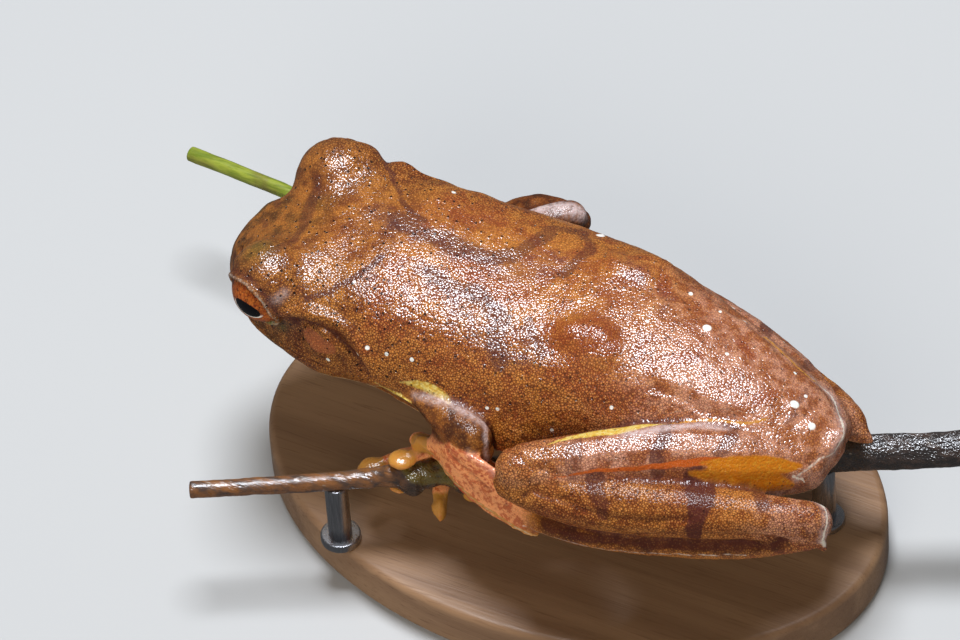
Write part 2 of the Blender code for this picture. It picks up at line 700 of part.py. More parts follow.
def web(path_a, path_b, reach):
    """A thin sheet between two digits, hollowed at its free edge."""
    rows_a = spread(path_a, 3)
    rows_b = spread(path_b, 3)
    count = max(int(min(len(rows_a), len(rows_b)) * reach), 3)
    left = [place(*row) for row in rows_a[:count]]
    right = [place(*row) for row in rows_b[:count]]
    grid = []
    for index in range(count):
        line = []
        for column in range(WEB_COLUMNS + 1):
            t = column / WEB_COLUMNS
            back = math.sin(math.pi * t) * WEB_HOLLOW if index == count - 1 else 0.0
            point = left[index].lerp(right[index], t)
            if back:
                point = point.lerp(left[index - 1].lerp(right[index - 1], t), back)
            line.append(point)
        grid.append(line)
    mesh = bmesh.new()
    verts = [[mesh.verts.new(point) for point in line] for line in grid]
    for lower, upper in zip(verts, verts[1:]):
        for i in range(WEB_COLUMNS):
            mesh.faces.new((lower[i], lower[i + 1], upper[i + 1]))
            mesh.faces.new((lower[i], upper[i + 1], upper[i]))
    bmesh.ops.recalc_face_normals(mesh, faces=mesh.faces)
    mesh.normal_update()
    normals = {vert: vert.normal.copy() for vert in mesh.verts}
    half = WEB_HALF_THICKNESS * MM
    top = {vert: mesh.verts.new(vert.co + normals[vert] * half) for vert in normals}
    for vert, normal in normals.items():
        vert.co = vert.co - normal * half
    sheet = [face for face in mesh.faces]
    border = [edge for edge in mesh.edges if len(edge.link_faces) == 1]
    for face in sheet:
        mesh.faces.new([top[vert] for vert in face.verts])
    for edge in border:
        a, b = edge.verts
        mesh.faces.new((a, b, top[b], top[a]))
    bmesh.ops.triangulate(mesh, faces=mesh.faces)
    bmesh.ops.recalc_face_normals(mesh, faces=mesh.faces)
    return as_object(mesh, "web")


def digits_and_webs(digits, disc, reach, radius_root=DIGIT_ROOT_RADIUS):
    """All the digits of a hand or foot, with the webs between neighbours."""
    pieces = []
    for path, facing in digits:
        pieces += digit(path, radius_root, DIGIT_TIP_RADIUS, disc, facing)
    for (path_a, _), (path_b, _) in zip(digits, digits[1:]):
        pieces.append(web(path_a[:3], path_b[:3], reach))
    return pieces


def calcar(measures):
    """The pointed skin flap on a heel."""
    root, tip, radius = measures
    return cone(place(*root), place(*tip), radius, CALCAR_TIP_RADIUS, 8)


def foot_pieces(tarsus, toes, spur):
    """Tarsus, heel flap, toes and webs."""
    return [tube(tarsus), calcar(spur)] + digits_and_webs(toes, TOE_DISC, WEB_REACH_FOOT)


def hand_pieces(palm, fingers):
    """Palm, fingers and the short webs at their roots."""
    return [tube(palm, 10)] + digits_and_webs(fingers, FINGER_DISC, WEB_REACH_HAND)


def woody_shoot(grow=0.0):
    """The woody shoot with its knots, as separate closed forms."""
    pieces = [round_path(WOODY_SHOOT, PERCH_SIDES, 2, grow)]
    for f, l, u, radius in KNOTS:
        pieces.append(ball(place(f, l, u), (radius,) * 3, None, 10, 7, grow))
    return pieces


def green_shoot(grow=0.0):
    """The green shoot."""
    return [round_path(GREEN_SHOOT, PERCH_SIDES, 2, grow)]


def perch_cutters():
    """Both shoots, grown by the gap."""
    return woody_shoot(GAP) + green_shoot(GAP)


def grown(stations):
    """A limb segment grown by the gap, as a cutter."""
    return tube(stations, grow=GAP)


def build_trunk_and_head():
    """Torso, head and eyes."""
    fold = tube(VENT_FOLD, 8)
    humps = [ball(place(*hump), SACRAL_HUMP_RADII, None, 12, 8) for hump in SACRAL_HUMPS]
    node("torso", "skin_brown", [body_and_head(), fold] + humps,
         [slab_between(NECK_F - GAP / 2, AHEAD_OF_SNOUT_F)] + perch_cutters())
    cutters = [slab_between(BEHIND_VENT_F, NECK_F + GAP / 2), nostril(1), nostril(-1), mouth_line()]
    for side in (1, -1):
        cutters += [eyeball(side, EYE_CAVITY_RADIUS, 14, 8), lid_opening(side)]
    node("head", "skin_brown", head_pieces(), cutters)
    for side, word in ((1, "left"), (-1, "right")):
        node("eye_" + word, "iris", [eyeball(side, EYE_RADIUS)])


def build_hind_leg(word, thigh, shank, tarsus, toes, spur, others):
    """Thigh, shank and foot of one side."""
    node("thigh_" + word, "skin_limb", [tube(thigh)], [body_and_head(GAP)] + perch_cutters())
    node("shank_" + word, "skin_limb", [tube(shank)],
         [body_and_head(GAP), grown(thigh)] + perch_cutters())
    cutters = [body_and_head(GAP), grown(thigh), grown(shank)] + perch_cutters()
    node("foot_" + word, "skin_red", foot_pieces(tarsus, toes, spur), cutters + others,
         "MANIFOLD", SHARP_ANGLE_DIGITS)


def build_arm(word, upper_arm, forearm, palm, fingers, others=()):
    """Upper arm, forearm and hand of one side."""
    node("upper_arm_" + word, "skin_limb", [tube(upper_arm)], [body_and_head(GAP)])
    node("forearm_" + word, "skin_limb", [tube(forearm)],
         [body_and_head(GAP), grown(upper_arm)] + perch_cutters())
    cutters = [body_and_head(GAP), grown(upper_arm), grown(forearm)] + perch_cutters()
    node("hand_" + word, "skin_red", hand_pieces(palm, fingers), cutters + list(others),
         "MANIFOLD", SHARP_ANGLE_DIGITS)


def build_perch():
    """The forked length of branch."""
    node("perch_branch", "bark", woody_shoot())
    node("perch_shoot", "green_bark", green_shoot(), woody_shoot(GAP))


def build_stand():
    """A flat oval base and two short rods."""
    mesh = bmesh.new()
    bmesh.ops.create_cone(mesh, cap_ends=True, segments=BASE_SIDES, radius1=1.0, radius2=1.0, depth=1.0)
    size = Matrix.Diagonal((BASE_HALF_LENGTH * MM, BASE_HALF_WIDTH * MM, BASE_THICKNESS * MM)).to_4x4()
    lift = Matrix.Translation((0.0, 0.0, BASE_THICKNESS * MM / 2))
    bmesh.ops.transform(mesh, matrix=lift @ size, verts=mesh.verts)
    rims = [edge for edge in mesh.edges if abs(edge.verts[0].co.z - edge.verts[1].co.z) < 1e-6]
    bmesh.ops.bevel(mesh, geom=rims, offset=BASE_EDGE * MM, segments=2, affect="EDGES", profile=0.5)
    base = as_object(mesh, "base")
    finish(base, "stand_base", "stand_wood")
    for name, (f, l) in ROD_FEET.items():
        foot = place(f, l, GAP - BASE_TOP_BELOW_VENT)
        top = place(f, l, -ROD_TOP_BELOW_VENT)
        node(name, "stand_steel", [cone(foot, top, ROD_RADIUS, ROD_RADIUS, 16)], perch_cutters())


def build():
    """Every node of the model."""
    for item in list(bpy.data.objects):
        bpy.data.objects.remove(item)
    build_trunk_and_head()
    build_arm("left", UPPER_ARM_LEFT, FOREARM_LEFT, PALM_LEFT, FINGERS_LEFT)
    build_arm("right", UPPER_ARM_RIGHT, FOREARM_RIGHT, PALM_RIGHT, FINGERS_RIGHT)
    arm_side = [grown(UPPER_ARM_LEFT), grown(FOREARM_LEFT), tube(PALM_LEFT, 10, grow=GAP)]
    for path, _ in FINGERS_LEFT:
        arm_side.append(round_path([(*point, DIGIT_ROOT_RADIUS) for point in path], 8, grow=GAP))
    build_hind_leg("left", THIGH_LEFT, SHANK_LEFT, TARSUS_LEFT, TOES_LEFT, CALCAR_LEFT, arm_side)
    build_hind_leg("right", THIGH_RIGHT, SHANK_RIGHT, TARSUS_RIGHT, TOES_RIGHT, CALCAR_RIGHT, [])
    build_perch()
    build_stand()


build()
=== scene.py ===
"""Looks of the tree frog model: one skin over the body, eyes, perch, display stand and studio.

Measures named f, l and u are millimetres in the frog's own directions from its vent:
forward to the snout, out to its left, and up. Finished meshes are in metres, as the frame is.
"""
import json
import logging
import math
from dataclasses import dataclass
from enum import Enum

import bpy
import numpy as np
from mathutils import Matrix, Vector, noise
from mathutils.bvhtree import BVHTree

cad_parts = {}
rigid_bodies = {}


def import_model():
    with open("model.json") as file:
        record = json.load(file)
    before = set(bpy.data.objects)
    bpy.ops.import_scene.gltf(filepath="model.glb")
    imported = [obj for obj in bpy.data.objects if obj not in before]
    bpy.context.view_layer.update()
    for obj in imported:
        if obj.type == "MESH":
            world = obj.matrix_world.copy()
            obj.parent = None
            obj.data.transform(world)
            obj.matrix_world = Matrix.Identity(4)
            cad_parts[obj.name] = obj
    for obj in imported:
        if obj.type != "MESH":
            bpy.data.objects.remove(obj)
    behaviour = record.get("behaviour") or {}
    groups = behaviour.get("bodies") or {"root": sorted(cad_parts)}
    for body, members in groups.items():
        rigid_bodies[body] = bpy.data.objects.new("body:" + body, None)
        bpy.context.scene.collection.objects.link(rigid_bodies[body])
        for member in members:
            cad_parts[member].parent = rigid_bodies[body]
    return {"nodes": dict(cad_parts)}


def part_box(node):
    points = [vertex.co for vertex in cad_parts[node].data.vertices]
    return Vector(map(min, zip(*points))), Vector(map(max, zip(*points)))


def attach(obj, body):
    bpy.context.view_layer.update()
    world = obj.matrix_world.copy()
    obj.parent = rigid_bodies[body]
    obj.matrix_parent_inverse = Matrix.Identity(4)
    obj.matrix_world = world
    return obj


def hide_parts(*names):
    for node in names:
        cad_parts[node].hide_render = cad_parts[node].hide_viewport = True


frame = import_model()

log = logging.getLogger("tree_frog")

MM = 0.001
BASE_CENTRE_F = 23.0
BASE_CENTRE_L = -1.5
VENT_HEIGHT = 19.0

Colour = tuple[float, float, float]
Corner = tuple[float, float, float]
Path = tuple[Corner, ...]
Widths = tuple[float, ...]
Spots = tuple[tuple[float, float, float, float], ...]
EyeMeasures = tuple[np.ndarray, np.ndarray]


class Side(Enum):
    """The frog's own left and right."""

    LEFT = 1
    RIGHT = -1

    @property
    def word(self) -> str:
        """The word used in node names."""
        return self.name.lower()

    def turned(self, path: Path) -> Path:
        """A path given for the left, or its mirror image for the right."""
        return path if self is Side.LEFT else mirrored(path)


def place(f: float, l: float, u: float) -> Vector:
    """A point in metres from the frog's own measures.

    Args:
        f: Forward from the vent, in millimetres.
        l: Out to the left, in millimetres.
        u: Up, in millimetres.

    Returns:
        The point in the frame's directions.
    """
    return Vector((BASE_CENTRE_F - f, BASE_CENTRE_L - l, u + VENT_HEIGHT)) * MM


def aim(f: float, l: float, u: float) -> Vector:
    """A unit direction from the frog's own forward, left and up shares."""
    return Vector((-f, -l, u)).normalized()


# The body's middle line, as (f, l), and the line of the mouth, as (f, u)
MIDDLE_LINE = ((0.0, 0.0), (8.0, -0.8), (13.0, -1.3), (19.0, -1.8), (25.0, -1.5),
               (31.0, -1.1), (36.0, -0.8), (41.0, -0.4), (50.0, -0.4))
MOUTH_LINE = ((36.5, -0.55), (38.6, -0.75), (41.0, -1.05), (43.4, -1.25), (45.6, -1.35),
              (47.6, -1.35), (49.2, -1.35), (50.6, -1.2))


def middle_at(f: np.ndarray) -> np.ndarray:
    """The middle line's l at each f."""
    line = np.array(MIDDLE_LINE)
    return np.interp(f, line[:, 0], line[:, 1])


def mirrored(path: Path) -> Path:
    """The same path on the other side of the body's middle line.

    Args:
        path: The path, in frog measures.

    Returns:
        The mirrored path.
    """
    turned = []
    for f, l, u in path:
        middle = float(middle_at(np.array([f]))[0])
        turned.append((f, 2 * middle - l, u))
    return tuple(turned)


def smoothstep(value: np.ndarray, low: float, high: float) -> np.ndarray:
    """Ease from 0 at low to 1 at high."""
    t = np.clip((value - low) / (high - low), 0.0, 1.0)
    return t * t * (3 - 2 * t)


def distance_to(points: np.ndarray, path: Path, reach: float = 4.0) -> np.ndarray:
    """The distance from each point to a line through a path's points.

    Args:
        points: Rows of f, l and u.
        path: The line's corners, or a single point.
        reach: Points further than this from the path's box only get a large number.

    Returns:
        One distance in millimetres for each row.
    """
    corners = np.array(path, float)
    result = np.full(len(points), 99.0)
    near = np.all((points > corners.min(0) - reach) & (points < corners.max(0) + reach), axis=1)
    close = points[near]
    nearest = np.linalg.norm(close - corners[0], axis=1)
    for start, end in zip(corners, corners[1:]):
        along = end - start
        share = np.clip((close - start) @ along / max(float(along @ along), 1e-9), 0, 1)
        gap = np.linalg.norm(close - start - share[:, None] * along, axis=1)
        nearest = np.minimum(nearest, gap)
    result[near] = nearest
    return result


def ribbon(points: np.ndarray, path: Path, widths: Widths, soft: float) -> np.ndarray:
    """A band along a path whose half width changes from corner to corner.

    Args:
        points: Rows of f, l and u.
        path: The band's middle line.
        widths: Half widths, spread evenly over the path's length.
        soft: How far the edge fades, in millimetres.

    Returns:
        1 inside the band, falling to 0 outside it.
    """
    corners = np.array(path, float)
    at = np.linspace(0, 1, len(corners))
    halves = np.interp(at, np.linspace(0, 1, len(widths)), widths)
    best = np.full(len(points), -99.0)
    for k in range(len(corners) - 1):
        along = corners[k + 1] - corners[k]
        share = np.clip((points - corners[k]) @ along / max(float(along @ along), 1e-9), 0, 1)
        gap = np.linalg.norm(points - corners[k] - share[:, None] * along, axis=1)
        best = np.maximum(best, halves[k] + share * (halves[k + 1] - halves[k]) - gap)
    return smoothstep(best, -soft, soft)


def stripe(points: np.ndarray, path: Path, half_width: float, soft: float) -> np.ndarray:
    """A stripe along a path: 1 on it and 0 past its soft edge."""
    return 1 - smoothstep(distance_to(points, path), half_width - soft, half_width + soft)


def hump(distance: np.ndarray, width: float) -> np.ndarray:
    """A bell curve of the given width over a distance."""
    return np.exp(-((distance / width) ** 2))


def most(*masks: np.ndarray) -> np.ndarray:
    """The greatest of several masks at each point."""
    return np.maximum.reduce(masks)


def deselect_all() -> None:
    """Deselect everything."""
    if bpy.context.object and bpy.context.object.mode != "OBJECT":
        bpy.ops.object.mode_set(mode="OBJECT")
    bpy.ops.object.select_all(action="DESELECT")


def make_active(item: bpy.types.Object) -> None:
    """Select one object alone and make it active.

    Args:
        item: The object.
    """
    deselect_all()
    item.select_set(True)
    bpy.context.view_layer.objects.active = item


def apply_modifier(item: bpy.types.Object, kind: str, **settings: object) -> None:
    """Add a modifier, set it and apply it.

    Args:
        item: The object it works on.
        kind: Blender's word for the modifier.
        settings: Values for its fields.
    """
    modifier = item.modifiers.new(kind.title(), kind)
    for name, value in settings.items():
        setattr(modifier, name, value)
    make_active(item)
    bpy.ops.object.modifier_apply(modifier=modifier.name)


def copy_of_node(name: str) -> bpy.types.Object:
    """A free copy of a CAD node, with its doubled points merged.

    Args:
        name: The node's name.

    Returns:
        The copy.
    """
    source = frame["nodes"][name]
    item = source.copy()
    item.data = source.data.copy()
    item.parent = None
    for key in [key for key in item.keys() if key.startswith("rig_")]:
        del item[key]
    item.hide_render = False
    item.hide_viewport = False
    bpy.context.scene.collection.objects.link(item)
    make_active(item)
    bpy.ops.object.mode_set(mode="EDIT")
    bpy.ops.mesh.select_all(action="SELECT")
    bpy.ops.mesh.remove_doubles(threshold=1e-6)
    bpy.ops.mesh.normals_make_consistent(inside=False)
    bpy.ops.object.mode_set(mode="OBJECT")
    item.data.materials.clear()
    return item


def tree_of(mesh: bpy.types.Mesh) -> BVHTree:
    """A search tree over a mesh's faces."""
    points = [vert.co.copy() for vert in mesh.vertices]
    return BVHTree.FromPolygons(points, [tuple(face.vertices) for face in mesh.polygons])


def grow(item: bpy.types.Object, distance: float) -> None:
    """Move a mesh's points out along their normals by a distance in millimetres.

    Args:
        item: The object.
        distance: How far, in millimetres.
    """
    mesh = item.data
    count = len(mesh.vertices)
    points = np.empty(count * 3)
    mesh.vertices.foreach_get("co", points)
    normals = np.empty(count * 3)
    mesh.vertex_normals.foreach_get("vector", normals)
    mesh.vertices.foreach_set("co", points + normals * distance * MM)
    mesh.update()


def joined(items: list[bpy.types.Object], name: str) -> bpy.types.Object:
    """All the objects as one.

    Args:
        items: The objects.
        name: The name of the one that they become.

    Returns:
        The joined object.
    """
    deselect_all()
    for item in items:
        item.select_set(True)
    bpy.context.view_layer.objects.active = items[0]
    bpy.ops.object.join()
    result = bpy.context.object
    result.name = name
    result.data.name = name
    return result


def keep_shell_at(item: bpy.types.Object, near: Vector) -> None:
    """Delete every loose shell but the one with the point nearest to a place.

    Args:
        item: The object.
        near: The place, in metres.
    """
    mesh = item.data
    points = np.empty(len(mesh.vertices) * 3)
    mesh.vertices.foreach_get("co", points)
    gaps = np.linalg.norm(points.reshape(-1, 3) - np.array(near), axis=1)
    make_active(item)
    bpy.ops.object.mode_set(mode="EDIT")
    bpy.ops.mesh.select_all(action="DESELECT")
    bpy.ops.object.mode_set(mode="OBJECT")
    mesh.vertices[int(gaps.argmin())].select = True
    bpy.ops.object.mode_set(mode="EDIT")
    bpy.ops.mesh.select_mode(type="VERT")
    bpy.ops.mesh.select_linked()
    bpy.ops.mesh.select_all(action="INVERT")
    bpy.ops.mesh.delete(type="VERT")
    bpy.ops.object.mode_set(mode="OBJECT")


class Surface:
    """A mesh's points as arrays of frog measures, for smoothing and shaping."""

    def __init__(self, item: bpy.types.Object) -> None:
        """Read the mesh of an object.

        Args:
            item: The object.
        """
        self.item = item
        mesh = item.data
        self.count = len(mesh.vertices)
        raw = np.empty(self.count * 3)
        mesh.vertices.foreach_get("co", raw)
        raw = raw.reshape(-1, 3) / MM
        self.points = np.column_stack(
            (BASE_CENTRE_F - raw[:, 0], BASE_CENTRE_L - raw[:, 1], raw[:, 2] - VENT_HEIGHT)
        )
        edges = np.empty(len(mesh.edges) * 2, np.int64)
        mesh.edges.foreach_get("vertices", edges)
        self.starts, self.ends = edges.reshape(-1, 2).T
        links = np.bincount(self.starts, minlength=self.count)
        links = links + np.bincount(self.ends, minlength=self.count)
        self.links = np.maximum(links, 1)

    def write(self) -> None:
        """Put the points back in the mesh."""
        raw = np.column_stack(
            (BASE_CENTRE_F - self.points[:, 0], BASE_CENTRE_L - self.points[:, 1],
             self.points[:, 2] + VENT_HEIGHT)
        )
        self.item.data.vertices.foreach_set("co", (raw * MM).ravel())
        self.item.data.update()

    def normals(self) -> np.ndarray:
        """The outward direction at each point, in frog measures.

        Returns:
            One direction for each point.
        """
        self.write()
        raw = np.empty(self.count * 3)
        self.item.data.vertex_normals.foreach_get("vector", raw)
        raw = raw.reshape(-1, 3)
        return np.column_stack((-raw[:, 0], -raw[:, 1], raw[:, 2]))

    def average(self, values: np.ndarray) -> np.ndarray:
        """The mean of each point's neighbours' values.

        Args:
            values: One value for each point.

        Returns:
            One mean for each point.
        """
        total = np.bincount(self.starts, values[self.ends], self.count)
        total = total + np.bincount(self.ends, values[self.starts], self.count)
        return total / self.links

    def spread(self, values: np.ndarray, rounds: int) -> np.ndarray:
        """Values blurred over the surface.

        Args:
            values: One value for each point.
            rounds: How many passes.

        Returns:
            The blurred values.
        """
        for _ in range(rounds):
            values = (values + self.average(values)) / 2
        return values

    def smooth(self, rounds: int, share: np.ndarray | float = 1.0, keep_size: bool = True) -> None:
        """Smooth the points.

        Args:
            rounds: How many passes.
            share: How much each point takes part, from 0 to 1.
            keep_size: Undo the shrinking of each pass.
        """
        steps = (0.5, -0.53) if keep_size else (0.5,)
        share = np.broadcast_to(share, (self.count,))[:, None]
        for _ in range(rounds):
            for step in steps:
                mean = np.column_stack([self.average(self.points[:, k]) for k in range(3)])
                self.points = self.points + (mean - self.points) * step * share

    def lift(self, heights: np.ndarray) -> None:
        """Move each point out along its normal by its own height in millimetres."""
        self.points = self.points + self.normals() * heights[:, None]

    def fill_hollows(self, share: np.ndarray, rounds: int) -> None:
        """Raise creases towards their surroundings and keep everything else where it is.

        Args:
            share: How much each point takes part, from 0 to 1.
            rounds: How many passes.
        """
        for _ in range(rounds):
            normals = self.normals()
            mean = np.column_stack([self.average(self.points[:, k]) for k in range(3)])
            lift = np.maximum(np.einsum("ij,ij->i", mean - self.points, normals), 0.0)
            self.points = self.points + normals * (lift * share * 0.6)[:, None]

    def laid(self, path: Path, step: float = 0.4) -> Path:
        """A path laid on the surface: short steps along it, each moved to the nearest point.

        Args:
            path: The path, in frog measures.
            step: The length of a step in millimetres.

        Returns:
            The laid path.
        """
        corners = [np.array(corner, float) for corner in path]
        places = [corners[0]]
        for start, end in zip(corners, corners[1:]):
            count = max(1, round(float(np.linalg.norm(end - start)) / step))
            places += [start + (end - start) * k / count for k in range(1, count + 1)]
        on_skin = [self.points[int(((self.points - spot) ** 2).sum(axis=1).argmin())] for spot in places]
        if len(on_skin) > 2:
            on_skin = [on_skin[0]] + [
                (on_skin[k - 1] + 2 * on_skin[k] + on_skin[k + 1]) / 4 for k in range(1, len(on_skin) - 1)
            ] + [on_skin[-1]]
        return tuple(tuple(float(number) for number in spot) for spot in on_skin)

    def thin_lines(self, paths: list[Path], normals: np.ndarray) -> tuple[np.ndarray, np.ndarray]:
        """How far each point is to one side of its nearest thin line, and whether it is near.

        Args:
            paths: The lines, already laid on the surface.
            normals: The surface's directions.

        Returns:
            The signed distance, clipped to 1 mm and moved to 0..1, and 1 near a line.
        """
        side = np.ones(self.count)
        near = np.zeros(self.count)
        closest = np.full(self.count, 0.9)
        for path in paths:
            corners = np.array(path, float)
            for start, end in zip(corners, corners[1:]):
                along = end - start
                raw = (self.points - start) @ along / max(float(along @ along), 1e-9)
                share = np.clip(raw, 0, 1)
                away = self.points - start - share[:, None] * along
                gap = np.linalg.norm(away, axis=1)
                taken = gap < closest
                across = np.cross(along, normals[taken])
                across /= np.maximum(np.linalg.norm(across, axis=1), 1e-9)[:, None]
                side[taken] = np.einsum("ij,ij->i", away[taken], across)
                over = np.abs(raw[taken] - share[taken]) * np.linalg.norm(along)
                near[taken] = np.where(over > 0.12, 0.0, 1.0)
                closest[taken] = gap[taken]
        return 0.5 + side / 2, near

    def rough(self, size: float, seed: float, stretch: np.ndarray | None = None) -> np.ndarray:
        """Smooth noise from -1 to 1 at each point.

        Args:
            size: The size of its lumps in millimetres.
            seed: Moves the pattern.
            stretch: A matrix that is applied to the points first.

        Returns:
            One value for each point.
        """
        points = self.points if stretch is None else self.points @ stretch.T
        rows = (points / size + seed).tolist()
        return np.array([noise.noise(row) for row in rows])

    def store(self, name: str, values: np.ndarray) -> None:
        """Keep values on the mesh as an attribute that a material reads."""
        attribute = self.item.data.attributes.new(name, "FLOAT", "POINT")
        attribute.data.foreach_set("value", np.clip(values, 0, 1).astype(np.float32))


class Wire:
    """An output of a material's graph that can stand in sums like a number."""

    def __init__(self, graph: "Graph", socket: bpy.types.NodeSocket) -> None:
        """Hold an output of a graph."""
        self.graph = graph
        self.socket = socket

    def __add__(self, other: "Wire | float") -> "Wire":
        """The sum."""
        return self.graph.maths("ADD", self, other)

    def __sub__(self, other: "Wire | float") -> "Wire":
        """The difference."""
        return self.graph.maths("SUBTRACT", self, other)

    def __rsub__(self, other: float) -> "Wire":
        """The difference from a number."""
        return self.graph.maths("SUBTRACT", other, self)

    def __mul__(self, other: "Wire | float") -> "Wire":
        """The product."""
        return self.graph.maths("MULTIPLY", self, other)

    def __truediv__(self, other: "Wire | float") -> "Wire":
        """The quotient."""
        return self.graph.maths("DIVIDE", self, other)

    def __abs__(self) -> "Wire":
        """The size without its sign."""
        return self.graph.maths("ABSOLUTE", self)


Value = Wire | float
Paint = Wire | Colour


class Graph:
    """Builds a material's node graph on Object coordinates in millimetres."""

    def __init__(self, name: str) -> None:
        """Start a material with a Principled shader.

        Args:
            name: The material's name.
        """
        self.material = bpy.data.materials.new(name)
        self.material.use_nodes = True
        self.tree = self.material.node_tree
        self.shader = self.tree.nodes["Principled BSDF"]
        place_on = self.made("TexCoord", {}, "Object")
        self.millimetres = self.made("Mapping", {"Scale": (1 / MM,) * 3, "Vector": place_on}, "Vector")

    def made(self, kind: str, inputs: dict[str | int, object], output: str | int, **settings: object) -> Wire:
        """A new node with its settings and inputs.

        Args:
            kind: Blender's name for the node, without its first part.
            inputs: Numbers, colours or wires for its inputs, by name or number.
            output: The output that is used.
            settings: Values for the node's own fields.

        Returns:
            The output.
        """
        node = self.tree.nodes.new(f"ShaderNode{kind}")
        for name, value in settings.items():
            setattr(node, name, value)
        for key, value in inputs.items():
            self.feed(value, node.inputs[key])
        return Wire(self, node.outputs[output])

    def feed(self, source: object, target: bpy.types.NodeSocket) -> None:
        """Join a wire to an input, or set a plain number or colour there.

        Args:
            source: The wire, number or colour.
            target: The input.
        """
        if isinstance(source, Wire):
            self.tree.links.new(source.socket, target)
        elif isinstance(source, tuple):
            target.default_value = (*source, 1.0)[:len(target.default_value)]
        else:
            target.default_value = source

    def mask(self, name: str) -> Wire:
        """A value kept on the mesh."""
        return self.made("Attribute", {}, "Fac", attribute_name=name)

    def maths(self, operation: str, a: Value, b: Value = 0.0) -> Wire:
        """One sum."""
        return self.made("Math", {0: a, 1: b}, 0, operation=operation)

    def length(self, a: Wire, b: Wire) -> Wire:
        """The length of a line with the given rise and run."""
        return self.maths("SQRT", a * a + b * b)

    def stretched(self, turn: float, scale: tuple[float, float, float]) -> Wire:
        """The millimetre coordinates, turned about the vertical by degrees and scaled."""
        turned = (0.0, 0.0, math.radians(turn))
        return self.made("Mapping", {"Rotation": turned, "Scale": scale, "Vector": self.millimetres}, "Vector")

    def noise(self, size: float, detail: float, rough: float, vector: Wire | None = None,
              distortion: float = 0.0) -> Wire:
        """Noise from 0 to 1.

        Args:
            size: The size of its lumps in millimetres.
            detail: How many finer layers it has.
            rough: How strong they are.
            vector: The coordinates, where they aren't plain millimetres.
            distortion: How much it is warped.

        Returns:
            The noise.
        """
        return self.made("TexNoise", {
            "Scale": 1 / size, "Detail": detail, "Roughness": rough, "Distortion": distortion,
            "Vector": vector or self.millimetres}, "Fac")

    def cells(self, size: float, feature: str = "F1", vector: Wire | None = None) -> Wire:
        """Distances in a pattern of cells.

        Args:
            size: The size of a cell in millimetres.
            feature: Blender's word for what the distance is to.
            vector: The coordinates, where they aren't plain millimetres.

        Returns:
            The distance, in cells.
        """
        where = vector or self.millimetres
        return self.made("TexVoronoi", {"Scale": 1 / size, "Vector": where}, "Distance", feature=feature)

    def rise(self, value: Value, low: float, high: float, out_low: float = 0.0, out_high: float = 1.0) -> Wire:
        """Ease a value from one number to another.

        Args:
            value: The value.
            low: Where it starts to rise.
            high: Where it ends.
            out_low: The result up to low.
            out_high: The result past high.

        Returns:
            The eased value.
        """
        return self.made("MapRange", {
            "Value": value, "From Min": low, "From Max": high, "To Min": out_low, "To Max": out_high,
        }, "Result", interpolation_type="SMOOTHSTEP")

    def mix(self, share: Value, a: Paint, b: Paint) -> Wire:
        """Two colours mixed."""
        return self.made("Mix", {0: share, 6: a, 7: b}, 2, data_type="RGBA", clamp_factor=True)

    def layers(self, base: Paint, *coats: tuple[Value, Paint]) -> Paint:
        """Colours laid one over another.

        Args:
            base: The lowest colour.
            coats: For each colour over it, how much it covers and the colour.

        Returns:
            The colour that shows.
        """
        for share, colour in coats:
            base = self.mix(share, base, colour)
        return base

    def torn(self, share: Value, ragged: Wire, amount: float) -> Wire:
        """A soft mask whose edge is broken up by a noise."""
        return self.rise(share + (ragged - 0.5) * amount, 0.3, 0.7)

    def spot_mask(self, spots: Spots) -> Wire:
        """A mask of round spots.

        Args:
            spots: Each spot's f, l, u and radius.

        Returns:
            1 inside any of them.
        """
        total = None
        for f, l, u, radius in spots:
            measures = {0: self.millimetres, 1: tuple(place(f, l, u) / MM)}
            away = self.made("VectorMath", measures, "Value", operation="DISTANCE")
            inside = self.rise(away, radius * 1.2, radius * 0.8)
            total = self.maths("MAXIMUM", total, inside) if total else inside
        return total

    def bump(self, height: Wire, distance: float, strength: float = 1.0, under: Wire | None = None) -> Wire:
        """A bump.

        Args:
            height: Its shape.
            distance: Its height in millimetres.
            strength: How much of it shows.
            under: Another bump that it lies on.

        Returns:
            The bumped normal.
        """
        inputs = {"Strength": strength, "Distance": distance * MM, "Height": height}
        if under:
            inputs["Normal"] = under
        return self.made("Bump", inputs, "Normal")

    def set(self, **values: object) -> None:
        """Set or link the shader's sockets, named with _ for a space."""
        for name, value in values.items():
            self.feed(value, self.shader.inputs[name.replace("_", " ")])


